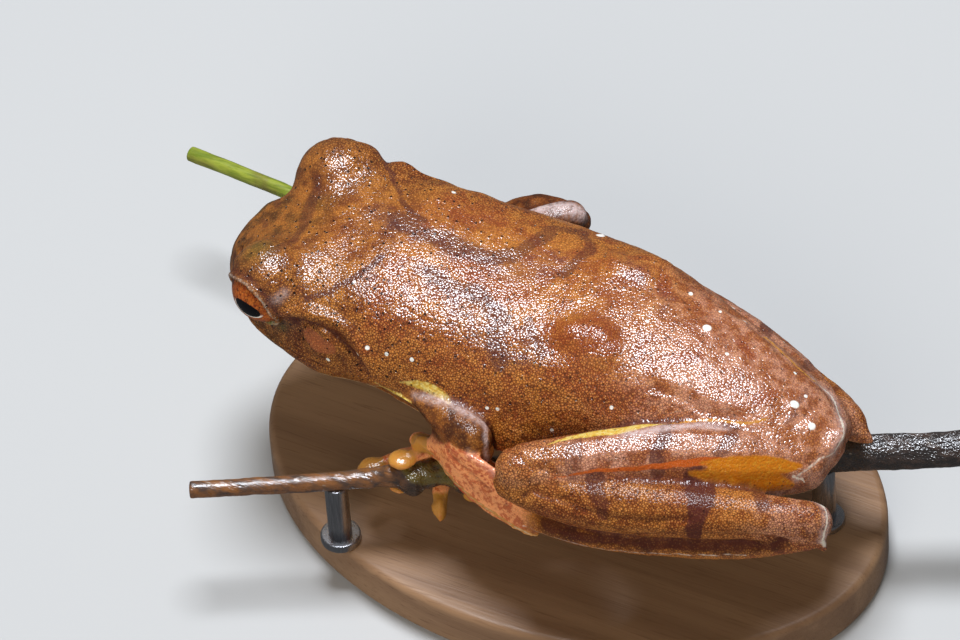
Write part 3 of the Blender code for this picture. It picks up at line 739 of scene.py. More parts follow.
@dataclass(frozen=True)
class SkinFinish:
    """Moist, finely granular frog skin, coloured by masks kept on the mesh."""

    brown: Colour = (0.30, 0.066, 0.012)
    ochre: Colour = (0.52, 0.178, 0.026)
    gap: Colour = (0.070, 0.018, 0.005)
    olive: Colour = (0.20, 0.092, 0.012)
    gold: Colour = (0.86, 0.385, 0.088)
    pink: Colour = (0.60, 0.275, 0.180)
    rear: Colour = (0.33, 0.095, 0.036)
    ear: Colour = (0.46, 0.125, 0.036)
    # Dark brown of the painted shade, also used for the toe freckles and the darker skin on the cheeks and round
    # the eardrum
    painted_shade_and_freckle_brown: Colour = (0.050, 0.017, 0.008)
    mark: Colour = (0.085, 0.019, 0.013)
    plum: Colour = (0.145, 0.058, 0.058)
    red: Colour = (0.27, 0.042, 0.007)
    yellow: Colour = (0.62, 0.36, 0.030)
    lemon: Colour = (0.74, 0.56, 0.16)
    amber: Colour = (0.52, 0.155, 0.002)
    orange: Colour = (0.46, 0.085, 0.006)
    pale: Colour = (0.74, 0.62, 0.50)
    # Pale lilac of some skin edges, and of the sheen painted along the arm, the thigh and the lid
    lilac_and_sheen: Colour = (0.66, 0.50, 0.46)
    digit: Colour = (1.0, 0.37, 0.125)
    web_red: Colour = (0.47, 0.050, 0.018)
    toe_shade: Colour = (0.66, 0.150, 0.042)
    tip: Colour = (0.54, 0.23, 0.035)
    cream: Colour = (0.62, 0.47, 0.25)
    white: Colour = (0.88, 0.86, 0.78)
    pore: Colour = (0.010, 0.005, 0.004)
    green: Colour = (0.15, 0.23, 0.030)
    granule: float = 0.19
    pore_cell: float = 0.64

    def thin_line(self, g: Graph, fine: Wire) -> Wire:
        """The mask of the thin pale lines, which waver in width."""
        width = g.rise(fine, 0.30, 0.70, 0.3, 1.0) * 0.075
        return g.rise(abs(g.mask("line_side") - 0.5) - width, 0.012, -0.012) * g.mask("line_near")

    def build(self, spots: Spots) -> bpy.types.Material:
        """The finished material.

        Args:
            spots: The white spots, each as f, l, u and radius in millimetres.

        Returns:
            The material.
        """
        g = Graph("frog_skin")
        mask = g.mask
        mottle = g.noise(1.05, 4.0, 0.62)
        fine = g.noise(0.32, 3.0, 0.6)
        away = g.cells(self.granule)
        tone = g.noise(5.5, 3.0, 0.55) * 0.5 + mottle * 0.5
        patches = g.noise(2.1, 3.0, 0.6) * 0.55 + mottle * 0.45
        freckles = mottle * 0.55 + fine * 0.45
        dark = g.torn(mask("mark"), mottle * 0.6 + fine * 0.4, 1.5) * mask("depth")
        grainy = mask("grainy")
        lit = g.rise(away, 0.45, 0.05) * (grainy * 0.66) * g.rise(mask("shade"), 0.3, 1.0, 1.0, 0.45)
        pores = g.cells(self.pore_cell)
        pore = g.rise(pores, 0.195, 0.125) * mask("pores")
        colour = g.layers(
            g.mix(g.rise(tone, 0.38, 0.60), self.brown, self.ochre),
            (mask("olive") * 0.9, g.mix(g.rise(tone, 0.42, 0.60), self.olive, self.ochre)),
            (mask("pink") * 0.85, g.mix(g.rise(patches, 0.42, 0.58), self.rear, self.pink)),
            (mask("flank") * 0.08, self.gap),
            (g.torn(mask("red"), mottle, 1.0) * 0.62, self.red),
            (mask("plum") * g.rise(patches, 0.58, 0.42, 0.45, 1.0), self.plum),
            (dark * 0.7, self.mark),
            (g.torn(mask("web"), fine, 0.5), g.layers(
                g.mix(g.rise(freckles, 0.44, 0.53), self.toe_shade, self.digit),
                (g.torn(mask("webbing"), fine, 0.5), self.web_red))),
            (g.torn(mask("belly"), fine, 0.6), self.cream),
            (g.torn(mask("ear"), fine, 0.3), self.ear),
            # Painted shade: mottled dark brown where the shade mask is, a mask that also holds darker cheeks, an
            # eardrum ring and toe freckles
            (mask("shade") * g.rise(mottle, 0.62, 0.36, 0.50, 1.0), self.painted_shade_and_freckle_brown),
            (lit, self.gold),
            (g.rise(g.cells(self.granule, "DISTANCE_TO_EDGE"), 0.17, 0.02) * grainy, self.gap),
            (dark * 0.85, self.mark),
            (g.torn(mask("orange"), fine, 0.4), self.orange),
            (g.torn(mask("amber"), fine, 0.4), g.mix(
                g.rise(fine, 0.45, 0.75, 0.0, 0.4), self.amber, self.yellow)),
            (g.rise(mask("yellow") + (fine - 0.5) * 0.7, 0.15, 0.85), g.mix(
                g.rise(fine, 0.35, 0.65), self.yellow, self.lemon)),
            (g.torn(mask("tip"), fine, 0.4), self.tip),
            # Lilac: pale skin edges, and painted sheen, a highlight along the arm, the thigh and the lid
            (mask("lilac_and_sheen") * g.rise(fine, 0.30, 0.60, 0.35, 0.95), self.lilac_and_sheen),
            (mask("green") * 0.8, self.green),
            # Painted shade in the hollows and creases, in the colour of the dark marks
            (mask("crease") * 0.80, self.mark),
            (self.thin_line(g, fine), g.mix(mask("line_tint"), self.pale, self.tip)),
            (g.torn(mask("pale"), fine, 0.35), self.pale),
            (pore * 0.92, self.pore),
            (g.spot_mask(spots), self.white),
        )
        dome = (1.0 - away * away * 2.2) * g.rise(mask("smooth"), 0.0, 1.0, 1.0, 0.25)
        grained = g.bump(dome, 0.019, 1.0, g.bump(mottle, 0.045))
        brim = g.rise(pores, 0.40, 0.22) * mask("pores")
        pitted = g.bump(brim - pore * 2.0, 0.030, 0.9, grained)
        g.set(Base_Color=colour, Roughness=g.rise(fine, 0.3, 0.7, 0.36, 0.52), Normal=pitted,
              Coat_Weight=g.rise(mask("matt"), -0.6, 1.0, 0.60, 0.05), Coat_Roughness=0.19, Coat_IOR=2.3,
              Coat_Normal=pitted, Subsurface_Weight=0.08, Subsurface_Scale=0.0005,
              Subsurface_Radius=(1.0, 0.35, 0.18), Specular_IOR_Level=0.12)
        return g.material


@dataclass(frozen=True)
class EyeFinish:
    """An orange-red iris with a level black pupil under a wet, clear cornea."""

    iris: Colour = (0.32, 0.055, 0.010)
    bright: Colour = (0.48, 0.125, 0.018)
    shade: Colour = (0.075, 0.014, 0.006)
    glow: Colour = (0.72, 0.250, 0.050)
    # Painted highlight: a thin white line along the lower edge of the pupil, where the cornea's edge catches the
    # light
    rim: Colour = (0.90, 0.84, 0.74)
    pupil: Colour = (0.004, 0.004, 0.006)
    pupil_half_length: float = 1.12
    pupil_half_height: float = 0.64

    def build(self, name: str, centre: Vector, sight: Vector, level: Vector) -> bpy.types.Material:
        """The material of one eye.

        Args:
            name: The material's name.
            centre: The ball's centre in metres.
            sight: The direction of sight.
            level: The direction of the pupil's long axis.

        Returns:
            The finished piece.
        """
        g = Graph(name)
        shift = g.made("VectorMath", {0: g.millimetres, 1: tuple(centre / MM)}, "Vector", operation="SUBTRACT")
        across, height, forward = (
            g.made("VectorMath", {0: shift, 1: tuple(direction)}, "Value", operation="DOT_PRODUCT")
            for direction in (level, sight.cross(level), sight))
        oval = g.length(across / self.pupil_half_length, height / self.pupil_half_height)
        radius = g.length(across, height)
        turn = g.maths("ARCTAN2", height, across)
        polar = g.made("CombineXYZ", {0: turn * 3.2, 1: radius * 0.7}, "Vector")
        grain = g.cells(0.14)
        pupil_highlight_ring = g.rise(abs(oval - 1.09), 0.110, 0.060)
        colour = g.layers(
            g.mix(g.rise(g.noise(0.42, 4.0, 0.65, polar), 0.40, 0.60), self.iris, self.bright),
            (g.rise(g.noise(0.22, 3.0, 0.7), 0.50, 0.62, 0.0, 0.85), self.shade),
            (g.rise(grain, 0.40, 0.08, 0.0, 0.55), self.glow),
            (g.rise(radius, 1.75, 2.35, 0.0, 0.85), self.shade),
            # Painted highlight along the pupil's lower edge
            (pupil_highlight_ring * g.rise(height, 0.10, -0.30), self.rim),
            (g.rise(oval, 1.05, 0.99) * g.maths("GREATER_THAN", forward, 0.0), self.pupil),
        )
        g.set(Base_Color=colour, Roughness=0.30, Normal=g.bump(grain * g.rise(oval, 1.2, 1.6), 0.020),
              Coat_Weight=0.30, Coat_Roughness=0.05, Coat_IOR=1.6, Specular_IOR_Level=0.1)
        return g.material


@dataclass(frozen=True)
class BarkFinish:
    """Dark wet bark that turns to a glossy brown twig, with pale flecks, a mossy knot and painted shade in its
    hollows.
    """

    dark: Colour = (0.022, 0.015, 0.013)
    worn: Colour = (0.060, 0.034, 0.024)
    twig: Colour = (0.23, 0.085, 0.018)
    fleck: Colour = (0.34, 0.29, 0.24)
    moss: Colour = (0.120, 0.085, 0.014)
    cut_wood: Colour = (0.48, 0.33, 0.17)
    turn: float = -25.5

    def build(self) -> bpy.types.Material:
        """The finished material.

        Returns:
            The material.
        """
        g = Graph("wet_bark")
        along = g.stretched(self.turn, (0.22, 1.0, 1.0))
        ridges = g.noise(0.55, 5.0, 0.62, along)
        fine = g.noise(0.20, 3.0, 0.6, along)
        blotch = g.noise(2.2, 3.0, 0.55)
        flecks = g.rise(g.cells(0.42, vector=along), 0.20, 0.10)
        colour = g.layers(
            g.mix(g.rise(ridges, 0.42, 0.68), self.dark, self.worn),
            (g.mask("twig"), g.mix(g.rise(ridges, 0.35, 0.7), self.twig, self.worn)),
            (g.torn(g.mask("moss"), blotch, 0.9), self.moss),
            (flecks * g.rise(blotch, 0.46, 0.60, 0.0, 0.8), self.fleck),
            # Painted shade: the bark darkened where its surface is sunk
            (g.mask("painted_hollow_shade") * 0.7, self.dark),
            (g.mask("cut"), g.mix(g.noise(0.35, 2.0, 0.5), self.cut_wood, self.twig)),
        )
        grit = g.cells(0.15, vector=g.stretched(self.turn, (0.6, 1.0, 1.0)))
        rugged = grit * g.rise(g.mask("twig"), 0.0, 1.0, 1.0, 0.15)
        ridged = g.bump(rugged, 0.060, 1.0, g.bump(ridges, 0.16, 0.9))
        rugose = g.bump(fine, 0.06, 0.8, ridged)
        g.set(Base_Color=colour, Roughness=g.rise(fine, 0.3, 0.7, 0.24, 0.55) + g.mask("cut") * 0.3,
              Normal=rugose, Coat_Normal=rugose, Coat_Weight=0.60, Coat_Roughness=0.14, Coat_IOR=2.2)
        return g.material


@dataclass(frozen=True)
class GreenBarkFinish:
    """Smooth, shiny green young bark with faint long streaks."""

    green: Colour = (0.155, 0.205, 0.018)
    bright: Colour = (0.30, 0.34, 0.035)
    brown: Colour = (0.16, 0.10, 0.030)
    cut_wood: Colour = (0.50, 0.48, 0.26)

    def build(self) -> bpy.types.Material:
        """The finished material.

        Returns:
            The material.
        """
        g = Graph("green_bark_shoot")
        streaks = g.noise(0.30, 4.0, 0.6, g.stretched(10.5, (0.12, 1.0, 1.0)))
        colour = g.layers(
            g.mix(g.rise(streaks, 0.35, 0.65), self.green, self.bright),
            (g.rise(g.noise(3.0, 3.0, 0.55), 0.52, 0.75, 0.0, 0.55), self.brown),
            (g.rise(g.cells(0.8), 0.13, 0.08, 0.0, 0.7), self.brown),
            (g.mask("cut"), self.cut_wood),
        )
        g.set(Base_Color=colour, Roughness=g.rise(streaks, 0.3, 0.7, 0.26, 0.40) + g.mask("cut") * 0.3,
              Normal=g.bump(streaks, 0.05, 0.6), Coat_Weight=0.4, Coat_Roughness=0.2)
        return g.material


@dataclass(frozen=True)
class WoodFinish:
    """Fine-grained oiled wood, its grain along the base's length."""

    light: Colour = (0.36, 0.205, 0.105)
    dark: Colour = (0.155, 0.075, 0.034)
    turn: float = 3.0

    def build(self) -> bpy.types.Material:
        """The finished material.

        Returns:
            The material.
        """
        g = Graph("oiled_wood")
        along = g.stretched(self.turn, (0.045, 1.0, 1.0))
        broad = g.noise(11.0, 2.0, 0.5, g.stretched(self.turn, (0.25, 1.0, 1.0)))
        pores = g.noise(0.20, 3.0, 0.6, along)
        figure = g.noise(3.2, 4.0, 0.62, along, 0.6) * 0.65 + broad * 0.35
        colour = g.layers(
            self.light,
            (g.rise(figure, 0.34, 0.66, 0.05, 0.75), self.dark),
            (g.rise(pores, 0.55, 0.72, 0.0, 0.6), self.dark),
        )
        g.set(Base_Color=colour, Roughness=g.rise(pores, 0.3, 0.7, 0.36, 0.52), Normal=g.bump(pores, 0.05, 0.5),
              Coat_Weight=0.12, Coat_Roughness=0.35)
        return g.material


@dataclass(frozen=True)
class SteelFinish:
    """Brushed steel rod, brushed along its length."""

    bright: Colour = (0.56, 0.56, 0.58)
    dull: Colour = (0.40, 0.40, 0.42)

    def build(self) -> bpy.types.Material:
        """The finished material.

        Returns:
            The material.
        """
        g = Graph("brushed_steel")
        lines = g.noise(0.09, 3.0, 0.6, g.stretched(0.0, (1.0, 1.0, 0.05)))
        g.set(Base_Color=g.mix(g.rise(lines, 0.3, 0.7), self.bright, self.dull), Metallic=1.0,
              Roughness=g.rise(lines, 0.3, 0.7, 0.24, 0.38), Normal=g.bump(lines, 0.02, 0.4))
        return g.material


# Bars across the legs: middle line, half widths along it, strength
LEG_BARS: dict[Side, tuple[tuple[Path, Widths, float], ...]] = {
    Side.LEFT: (
        (((11.3, 5.4, 2.4), (10.9, 7.2, 2.9), (10.6, 8.6, 2.1), (10.3, 9.2, 1.2)), (0.35, 0.60, 0.55, 0.40), 0.85),
        (((6.9, 3.4, 2.2), (6.1, 5.1, 2.2), (6.6, 6.3, 2.0)), (0.40, 0.60, 0.40), 0.60),
        (((16.6, 10.0, 2.6), (16.5, 10.8, 2.4), (16.3, 12.0, 1.2)), (0.45, 0.55, 0.40), 0.42),
        (((14.6, 11.2, 1.2), (14.0, 12.2, 0.7), (13.5, 12.8, 0.1), (13.1, 13.1, -0.6)),
         (0.60, 0.60, 0.60, 0.45), 0.80),
        (((7.8, 7.9, 0.8), (6.8, 9.2, 0.6), (6.6, 10.2, 0.3), (6.6, 10.9, -0.4), (6.6, 11.2, -1.2),
          (6.6, 11.3, -2.2)),
         (1.05, 1.05, 0.80, 0.75, 0.65, 0.50), 1.15),
        (((3.7, 6.1, -0.4), (3.0, 7.3, 0.2), (2.4, 8.1, 0.2)), (0.50, 0.45, 0.45), 0.65),
    ),
    Side.RIGHT: (
        (((9.2, -6.6, 0.4), (9.6, -7.4, -0.6), (10.6, -9.0, -2.6)), (0.4, 0.6, 0.5), 0.80),
        (((5.2, -4.2, 0.6), (5.4, -4.8, -0.4), (5.6, -6.4, -2.2)), (0.4, 0.55, 0.4), 0.60),
        (((13.2, -9.6, -3.2), (13.8, -11.6, -5.0)), (0.6, 0.55), 0.62),
        (((7.0, -7.2, -3.0), (7.6, -9.8, -5.0), (8.4, -10.4, -6.4)), (0.85, 0.8, 0.5), 0.95),
        (((3.0, -5.4, -1.6), (3.4, -7.2, -3.8)), (0.4, 0.45), 0.45),
    ),
}
# Painted shadow: the band where the shank meets the foot, darkened along this line
FOOT_SHADE: Path = ((18.4, 12.6, -4.7), (15.2, 12.7, -4.5), (12.1, 12.1, -4.4), (7.6, 10.9, -3.9),
                    (4.0, 9.7, -3.5), (0.8, 8.6, -2.9))


@dataclass(frozen=True)
class Mark:
    """A marking along a line, with its half width, softness and strength."""

    path: Path
    half: float
    soft: float = 0.6
    strength: float = 1.0


BACK_MARKS = (
    Mark(((41.9, -8.1, 4.3), (39.4, -5.8, 5.4), (37.3, -4.1, 6.0), (35.6, -2.8, 6.2), (34.2, -2.6, 6.2)),
         0.26, 0.9, 0.80),
    Mark(((37.0, -2.2, 6.2), (34.8, -1.4, 6.2), (32.1, -1.4, 5.9), (29.0, -1.6, 5.6), (27.8, -2.7, 5.4)),
         0.85, 1.0, 0.62),
    Mark(((27.8, -2.7, 5.4), (26.9, -5.1, 5.0), (26.6, -7.1, 4.4), (24.6, -8.1, 3.8)), 0.60, 1.0, 0.62),
    Mark(((24.6, -8.1, 3.8), (23.1, -6.6, 4.5), (23.3, -4.2, 5.1), (23.7, -2.6, 5.3)), 0.42, 0.8, 0.55),
    Mark(((40.3, 6.6, 4.6), (39.0, 5.6, 5.2), (37.6, 4.2, 5.7), (36.7, 2.8, 6.1), (36.4, 1.8, 6.2)),
         0.34, 1.1, 0.85),
    Mark(((32.3, 1.6, 5.8), (31.0, 2.1, 5.6), (29.7, 1.8, 5.4), (27.8, 2.0, 5.2), (26.4, 2.9, 4.8),
          (25.7, 4.8, 4.1), (24.9, 5.6, 3.5)), 0.75, 1.1, 0.62),
    Mark(((44.7, -3.7, 5.8), (44.4, -2.6, 5.2), (44.2, -0.9, 5.0), (43.7, 1.2, 5.3), (43.6, 3.6, 6.3),
          (44.2, 5.5, 6.7)), 0.42, 1.1, 0.55),
    Mark(((47.9, -2.4, 2.7), (47.2, -2.0, 3.3)), 0.35, 1.2, 0.45),
    Mark(((48.0, -0.4, 2.8), (47.4, 0.2, 3.3)), 0.30, 1.2, 0.45),
    Mark(((42.2, -4.6, 6.0), (41.6, -3.3, 5.9)), 0.45, 1.2, 0.45),
    Mark(((49.3, 2.1, 0.5), (47.4, 3.4, 1.2)), 0.45, 1.0, 0.60),
    Mark(((24.2, 2.3, 4.9), (23.0, 3.5, 4.5), (22.3, 4.4, 4.0)), 0.40, 0.9, 0.50),
    Mark(((3.3, -1.8, 2.1), (3.5, 0.1, 2.3), (3.6, 1.6, 2.0)), 0.22, 0.9, 0.45),
)
DUSKY_BANDS = (
    Mark(((38.5, -1.8, 6.1), (36.1, -1.4, 6.3), (33.5, -1.3, 6.2), (29.8, -1.3, 5.8), (26.5, -1.2, 5.4),
          (24.6, -3.6, 5.1)), 0.9, 1.3, 0.60),
    Mark(((28.7, 1.4, 5.5), (26.4, 2.3, 5.0), (23.8, 3.7, 4.6), (22.3, 4.1, 4.3)), 0.6, 1.3, 0.60),
    Mark(((33.3, 1.9, 5.9), (31.3, 2.5, 5.6), (29.7, 3.3, 5.2), (28.3, 4.1, 4.8), (26.7, 4.9, 4.3),
          (25.1, 5.2, 3.9), (23.5, 5.1, 3.8)), 0.6, 1.3, 0.70),
    Mark(((20.3, -5.6, 5.0), (18.1, -4.5, 5.1)), 0.6, 1.3, 0.40),
    Mark(((16.7, -4.1, 5.1), (15.4, -3.6, 5.0), (15.3, -2.3, 5.2)), 0.5, 1.2, 0.40),
)
RED_MARKS = (
    Mark(((36.4, 1.8, 6.2), (35.2, 1.2, 6.2), (33.7, 1.3, 6.1), (32.3, 2.0, 5.8), (30.8, 2.6, 5.5)), 0.20, 0.9),
    Mark(((30.6, -0.4, 5.7), (28.0, 0.6, 5.3), (26.0, 0.6, 5.2)), 1.0, 1.0),
    Mark(((20.5, 4.6, 3.9), (18.5, 5.0, 3.6), (16.5, 5.6, 2.9)), 1.40, 1.0),
    Mark(((21.6, 2.9, 4.8), (20.0, 2.4, 5.0), (18.2, 1.9, 5.2)), 1.50, 0.9),
    Mark(((16.0, -4.0, 4.9), (16.6, -5.4, 4.8)), 0.50, 0.9),
    Mark(((18.6, -6.9, 5.0), (19.4, -6.2, 5.0)), 0.45, 0.9),
    Mark(((5.3, 0.1, 2.9), (5.9, 1.0, 2.8)), 0.60, 0.9),
    Mark(((12.5, 1.0, 4.3), (11.2, 0.2, 4.3)), 0.55, 1.0),
    Mark(((9.4, -3.0, 3.8), (8.2, -2.2, 3.7)), 0.50, 1.0),
)
# White spots on warts: f, l, u and radius
WHITE_SPOTS = (
    (23.4, -8.6, 3.4, 0.34), (14.4, -5.3, 4.3, 0.17), (11.7, -2.6, 4.4, 0.33), (10.0, -5.2, 3.1, 0.31),
    (11.7, -4.8, 3.9, 0.12), (15.9, -0.9, 5.1, 0.13), (9.5, -1.2, 4.1, 0.16), (15.9, 5.4, 2.1, 0.15),
    (3.6, 0.0, 2.2, 0.35), (1.8, 0.7, 1.4, 0.28), (3.2, -1.3, 2.0, 0.14), (4.8, -2.8, 2.3, 0.14),
    (7.9, -7.3, -0.3, 0.12), (34.8, -6.8, 5.3, 0.18), (21.3, -0.5, 5.3, 0.14), (31.4, 7.3, 2.6, 0.17),
    (25.1, 7.8, 0.5, 0.14), (24.3, 7.6, 0.6, 0.14), (37.5, 4.5, 5.6, 0.13), (35.1, 7.6, 2.5, 0.17),
    (35.6, 7.8, 2.0, 0.15), (33.4, 7.5, 2.5, 0.16), (38.2, 8.0, 0.4, 0.17), (20.1, 7.2, -0.4, 0.14),
    (18.0, -9.4, 2.6, 0.30), (26.4, -9.9, 1.6, 0.15), (32.2, -8.6, 2.2, 0.15), (12.0, -7.4, 1.6, 0.22),
)
NAPE_SWELL: Path = ((41.8, -7.4, 5.2), (40.9, -7.7, 4.4), (40.1, -7.9, 4.3))
FLANK_SWELL: Path = ((24.6, 8.0, -2.5), (22.6, 8.0, -2.5))
SACRAL_FOLD: Path = ((22.6, 3.4, 4.2), (20.6, 3.7, 4.3), (18.7, 3.2, 4.8), (17.3, 1.4, 5.0))
SACRAL_CREST: Path = ((21.0, 2.2, 5.2), (20.2, 1.6, 5.3), (19.0, 1.4, 5.5), (17.9, 1.7, 5.2))
BACK_WRINKLE: Path = ((17.2, -2.6, 5.2), (17.1, 0.4, 5.1), (17.5, 2.1, 5.0))
THIGH_FOLD: Path = ((13.3, 3.6, 3.6), (11.2, 3.4, 3.3), (9.8, 3.5, 2.9), (8.2, 3.3, 2.6), (6.9, 2.8, 2.5))
VENT_SIDE_FOLD: Path = ((2.2, -1.5, 1.5), (2.6, 0.1, 1.8), (2.9, 1.6, 1.6))
SHANK_CREASES: dict[Side, tuple[Path, ...]] = {
    Side.LEFT: (
        ((19.3, 13.8, -0.6), (18.5, 13.4, 0.0), (17.7, 13.6, -0.1), (15.8, 13.3, -0.2), (14.1, 13.2, -0.5),
         (11.9, 12.8, -0.7), (9.2, 11.8, -0.6), (7.1, 11.0, -0.4)),
        ((20.6, 13.2, -2.0), (18.6, 13.7, -2.2), (16.2, 13.6, -2.5), (13.8, 13.1, -2.6), (11.1, 12.4, -2.5),
         (7.4, 11.2, -2.0), (3.9, 9.9, -1.7), (1.8, 9.0, -1.9), (0.4, 8.4, -2.5)),
    ),
    Side.RIGHT: (
        ((18.0, -13.0, -4.4), (13.0, -11.9, -4.8), (8.0, -10.0, -4.4), (4.0, -8.0, -3.6)),
        ((18.0, -13.0, -6.0), (12.0, -11.7, -6.4), (6.0, -9.2, -5.6), (2.4, -7.0, -4.4)),
    ),
}
RIGHT_SPUR = (0.2, -3.7, -3.5)
RIGHT_SPUR_PULL = (-1.15, -0.15, -0.40)
CALCAR_TIP: Path = ((-2.0, 7.2, -3.0), (-2.1, 7.1, -3.5))
KNEE_CREASE: Path = ((21.7, 10.2, 0.0), (20.8, 12.0, 1.3), (19.0, 12.4, 1.3), (17.0, 11.8, 1.0))
EAR_CREASE: Path = ((42.3, 7.5, 2.2), (40.5, 7.4, 2.9), (38.6, 7.8, 3.6), (37.2, 8.0, 3.0), (36.2, 8.2, 1.9),
                    (35.3, 8.2, 0.6), (34.7, 8.2, -0.8))
EAR_FOLD: Path = ((41.9, 7.5, 3.3), (40.2, 7.5, 4.0), (38.4, 7.4, 4.3), (36.9, 7.6, 3.8), (35.8, 7.8, 2.7),
                  (34.8, 8.0, 1.4), (34.1, 8.0, 0.0))
EAR: Path = ((39.7, 8.0, 1.9), (38.3, 8.1, 1.8))
EAR_RADIUS = 1.05
# Height, angle or height off the rim, and width of the folds that go round a lid and along the lips
LID_FOLDS = ((0.14, -7.0, 6.0), (-0.18, 1.0, 4.6), (0.06, 8.0, 5.0))
LIP_FOLDS = ((0.07, 0.42, 0.30), (0.04, -0.40, 0.26), (-0.20, 0.0, 0.13))
# Size, seed and height of the skin's uneven relief, and its share on the limbs
RELIEF = ((2.6, 3.1, 0.085, 0.5), (1.1, 7.7, 0.040, 0.5), (0.55, 1.9, 0.018, 1.0))
NOSTRIL = (48.5, 1.75, 1.55)

GROIN_YELLOW: Path = ((18.6, 10.6, 2.2), (18.2, 10.1, 2.3), (16.6, 9.0, 2.4), (14.9, 8.1, 2.7), (13.5, 7.1, 2.75),
                      (12.2, 6.0, 2.6), (11.0, 5.1, 2.3))
THIGH_SHEEN: Path = ((13.4, 8.0, 2.9), (11.9, 6.9, 2.95), (10.2, 5.5, 2.7), (8.8, 4.5, 2.35), (7.4, 3.9, 2.2))
GROIN_THREAD: Path = ((11.0, 5.1, 2.3), (8.6, 3.8, 2.4), (7.2, 3.4, 2.3), (5.7, 2.9, 2.3), (4.8, 2.2, 2.3))
UNDER_THIGH_ORANGE: Path = ((17.6, 12.6, 0.9), (16.2, 12.0, 1.2), (14.3, 10.9, 1.6), (11.6, 9.6, 1.6),
                            (9.7, 8.5, 1.8), (7.8, 7.3, 1.8), (6.6, 6.7, 1.7))
HIDDEN_THIGH_AMBER: dict[Side, Path] = {
    Side.LEFT: ((8.0, 7.5, 1.8), (6.8, 6.9, 1.6), (5.5, 6.2, 1.4), (3.9, 5.25, 0.9), (2.05, 4.0, 0.3),
                (1.1, 3.3, 0.1)),
    Side.RIGHT: ((9.4, -8.0, -4.6), (7.4, -6.8, -4.0), (5.4, -5.4, -3.6), (3.6, -4.2, -3.0)),
}
LOW_AMBER: Path = ((8.3, 8.1, 1.2), (7.3, 7.7, 0.8), (5.6, 6.9, 0.6), (4.3, 6.2, 0.1), (3.1, 5.4, -0.6),
                   (1.8, 4.6, -1.2))
WHITE_FRINGE: Path = ((-0.1, 1.4, -0.1), (0.4, 2.0, 0.0), (0.6, 2.6, -0.1), (0.9, 3.3, -0.2), (1.5, 4.0, -0.3))
HEEL_EDGE: Path = ((1.0, 4.6, -0.4), (-0.2, 5.0, -0.3), (-1.4, 5.8, -0.5), (-2.0, 6.5, -0.7), (-2.2, 7.3, -1.5),
                   (-2.2, 7.5, -2.6))
RIGHT_EDGE: Path = ((3.6, -3.7, 1.3), (2.5, -3.9, 0.1), (1.3, -2.7, 0.2), (-0.1, -0.8, 0.8), (-0.5, 0.3, 0.6),
                    (-0.2, 1.1, 0.0))
RIGHT_CREAM: Path = ((8.3, -5.2, 2.4), (6.9, -4.6, 2.4), (5.7, -4.0, 2.3), (4.6, -3.7, 1.9), (3.6, -3.4, 1.5))
# Painted sheen: a highlight along the top of the left arm
ARM_SHEEN: Path = ((30.6, 8.5, 0.4), (29.2, 8.6, 0.6), (27.9, 8.6, 0.7), (26.7, 8.8, 0.6), (25.8, 9.1, 0.3),
                  (25.0, 9.3, -0.1))
ARM_EDGE: Path = ((25.0, 8.9, 0.0), (24.2, 10.0, 0.0), (23.8, 10.6, -0.9), (23.8, 10.8, -2.6))
ARM_YELLOW: Path = ((32.1, 8.3, 0.6), (31.4, 8.4, 0.8), (30.2, 8.3, 1.0), (28.9, 8.35, 0.9), (27.9, 8.5, 0.8))
ARM_YELLOW_EDGE: Path = ((34.6, 7.8, -1.1), (33.1, 8.3, -1.0), (31.8, 8.8, -0.5), (30.8, 9.1, -0.3))
RIGHT_ARM_PALE: Path = ((30.8, -12.2, 0.1), (29.4, -12.8, 0.1), (28.3, -13.1, 0.0), (27.4, -13.6, -0.6))
# Directions towards the viewer and up in the picture
OUTWARD = (-0.328, 0.581, 0.744)
VIEW_UP = (0.295, -0.685, 0.666)
TOE_LOWER_EDGE: Path = ((30.97, 8.99, -4.79), (29.84, 9.39, -4.65), (28.63, 9.95, -4.42), (27.33, 10.90, -4.52),
                        (26.09, 11.60, -4.81), (24.84, 12.01, -5.28), (23.52, 12.19, -5.73), (22.11, 12.40, -6.12),
                        (20.59, 12.49, -6.46), (19.05, 12.45, -6.70))
TOE_UPPER_EDGE: Path = ((30.76, 8.71, -4.53), (30.04, 8.59, -4.21), (28.46, 9.89, -2.35), (26.53, 11.05, -0.83),
                        (25.00, 11.43, -0.73), (23.63, 11.55, -0.88), (22.52, 11.54, -1.50), (21.36, 11.67, -2.65),
                        (19.91, 11.76, -4.17), (18.66, 11.73, -5.23))


def across_toes(shares: tuple[float, ...], start: int) -> Path:
    """A line on the long toes' web, between its lower and its upper edge.

    Args:
        shares: How far up the web each point is, from 0 to 1.
        start: The number of the edges' point that the first share belongs to.

    Returns:
        The line's points.
    """
    rows = []
    for share, low, high in zip(shares, TOE_LOWER_EDGE[start:], TOE_UPPER_EDGE[start:]):
        rows.append(tuple((1 - share) * a + share * b + 0.3 * c for a, b, c in zip(low, high, OUTWARD)))
    return tuple(rows)


TOE_RIM: Path = across_toes((0.06,) * 9, 1)
TOE_VEIN: Path = across_toes((0.95, 0.86, 0.78, 0.70, 0.60, 0.52), 2)
TOE_WEB: Path = across_toes((0.95, 0.92, 0.90), 4)
TOE_FRECKLES: Path = across_toes((0.30, 0.35, 0.40, 0.45), 5)
LID_SHEEN: Path = ((42.7, 7.8, 4.6), (42.1, 7.3, 5.0))
TOE_GROOVE: Path = across_toes((0.70, 0.62, 0.55, 0.50, 0.48), 3)
HANGING_DISC: Path = ((28.90, 9.86, -10.54), (29.44, 9.03, -9.93), (29.65, 8.56, -9.60))
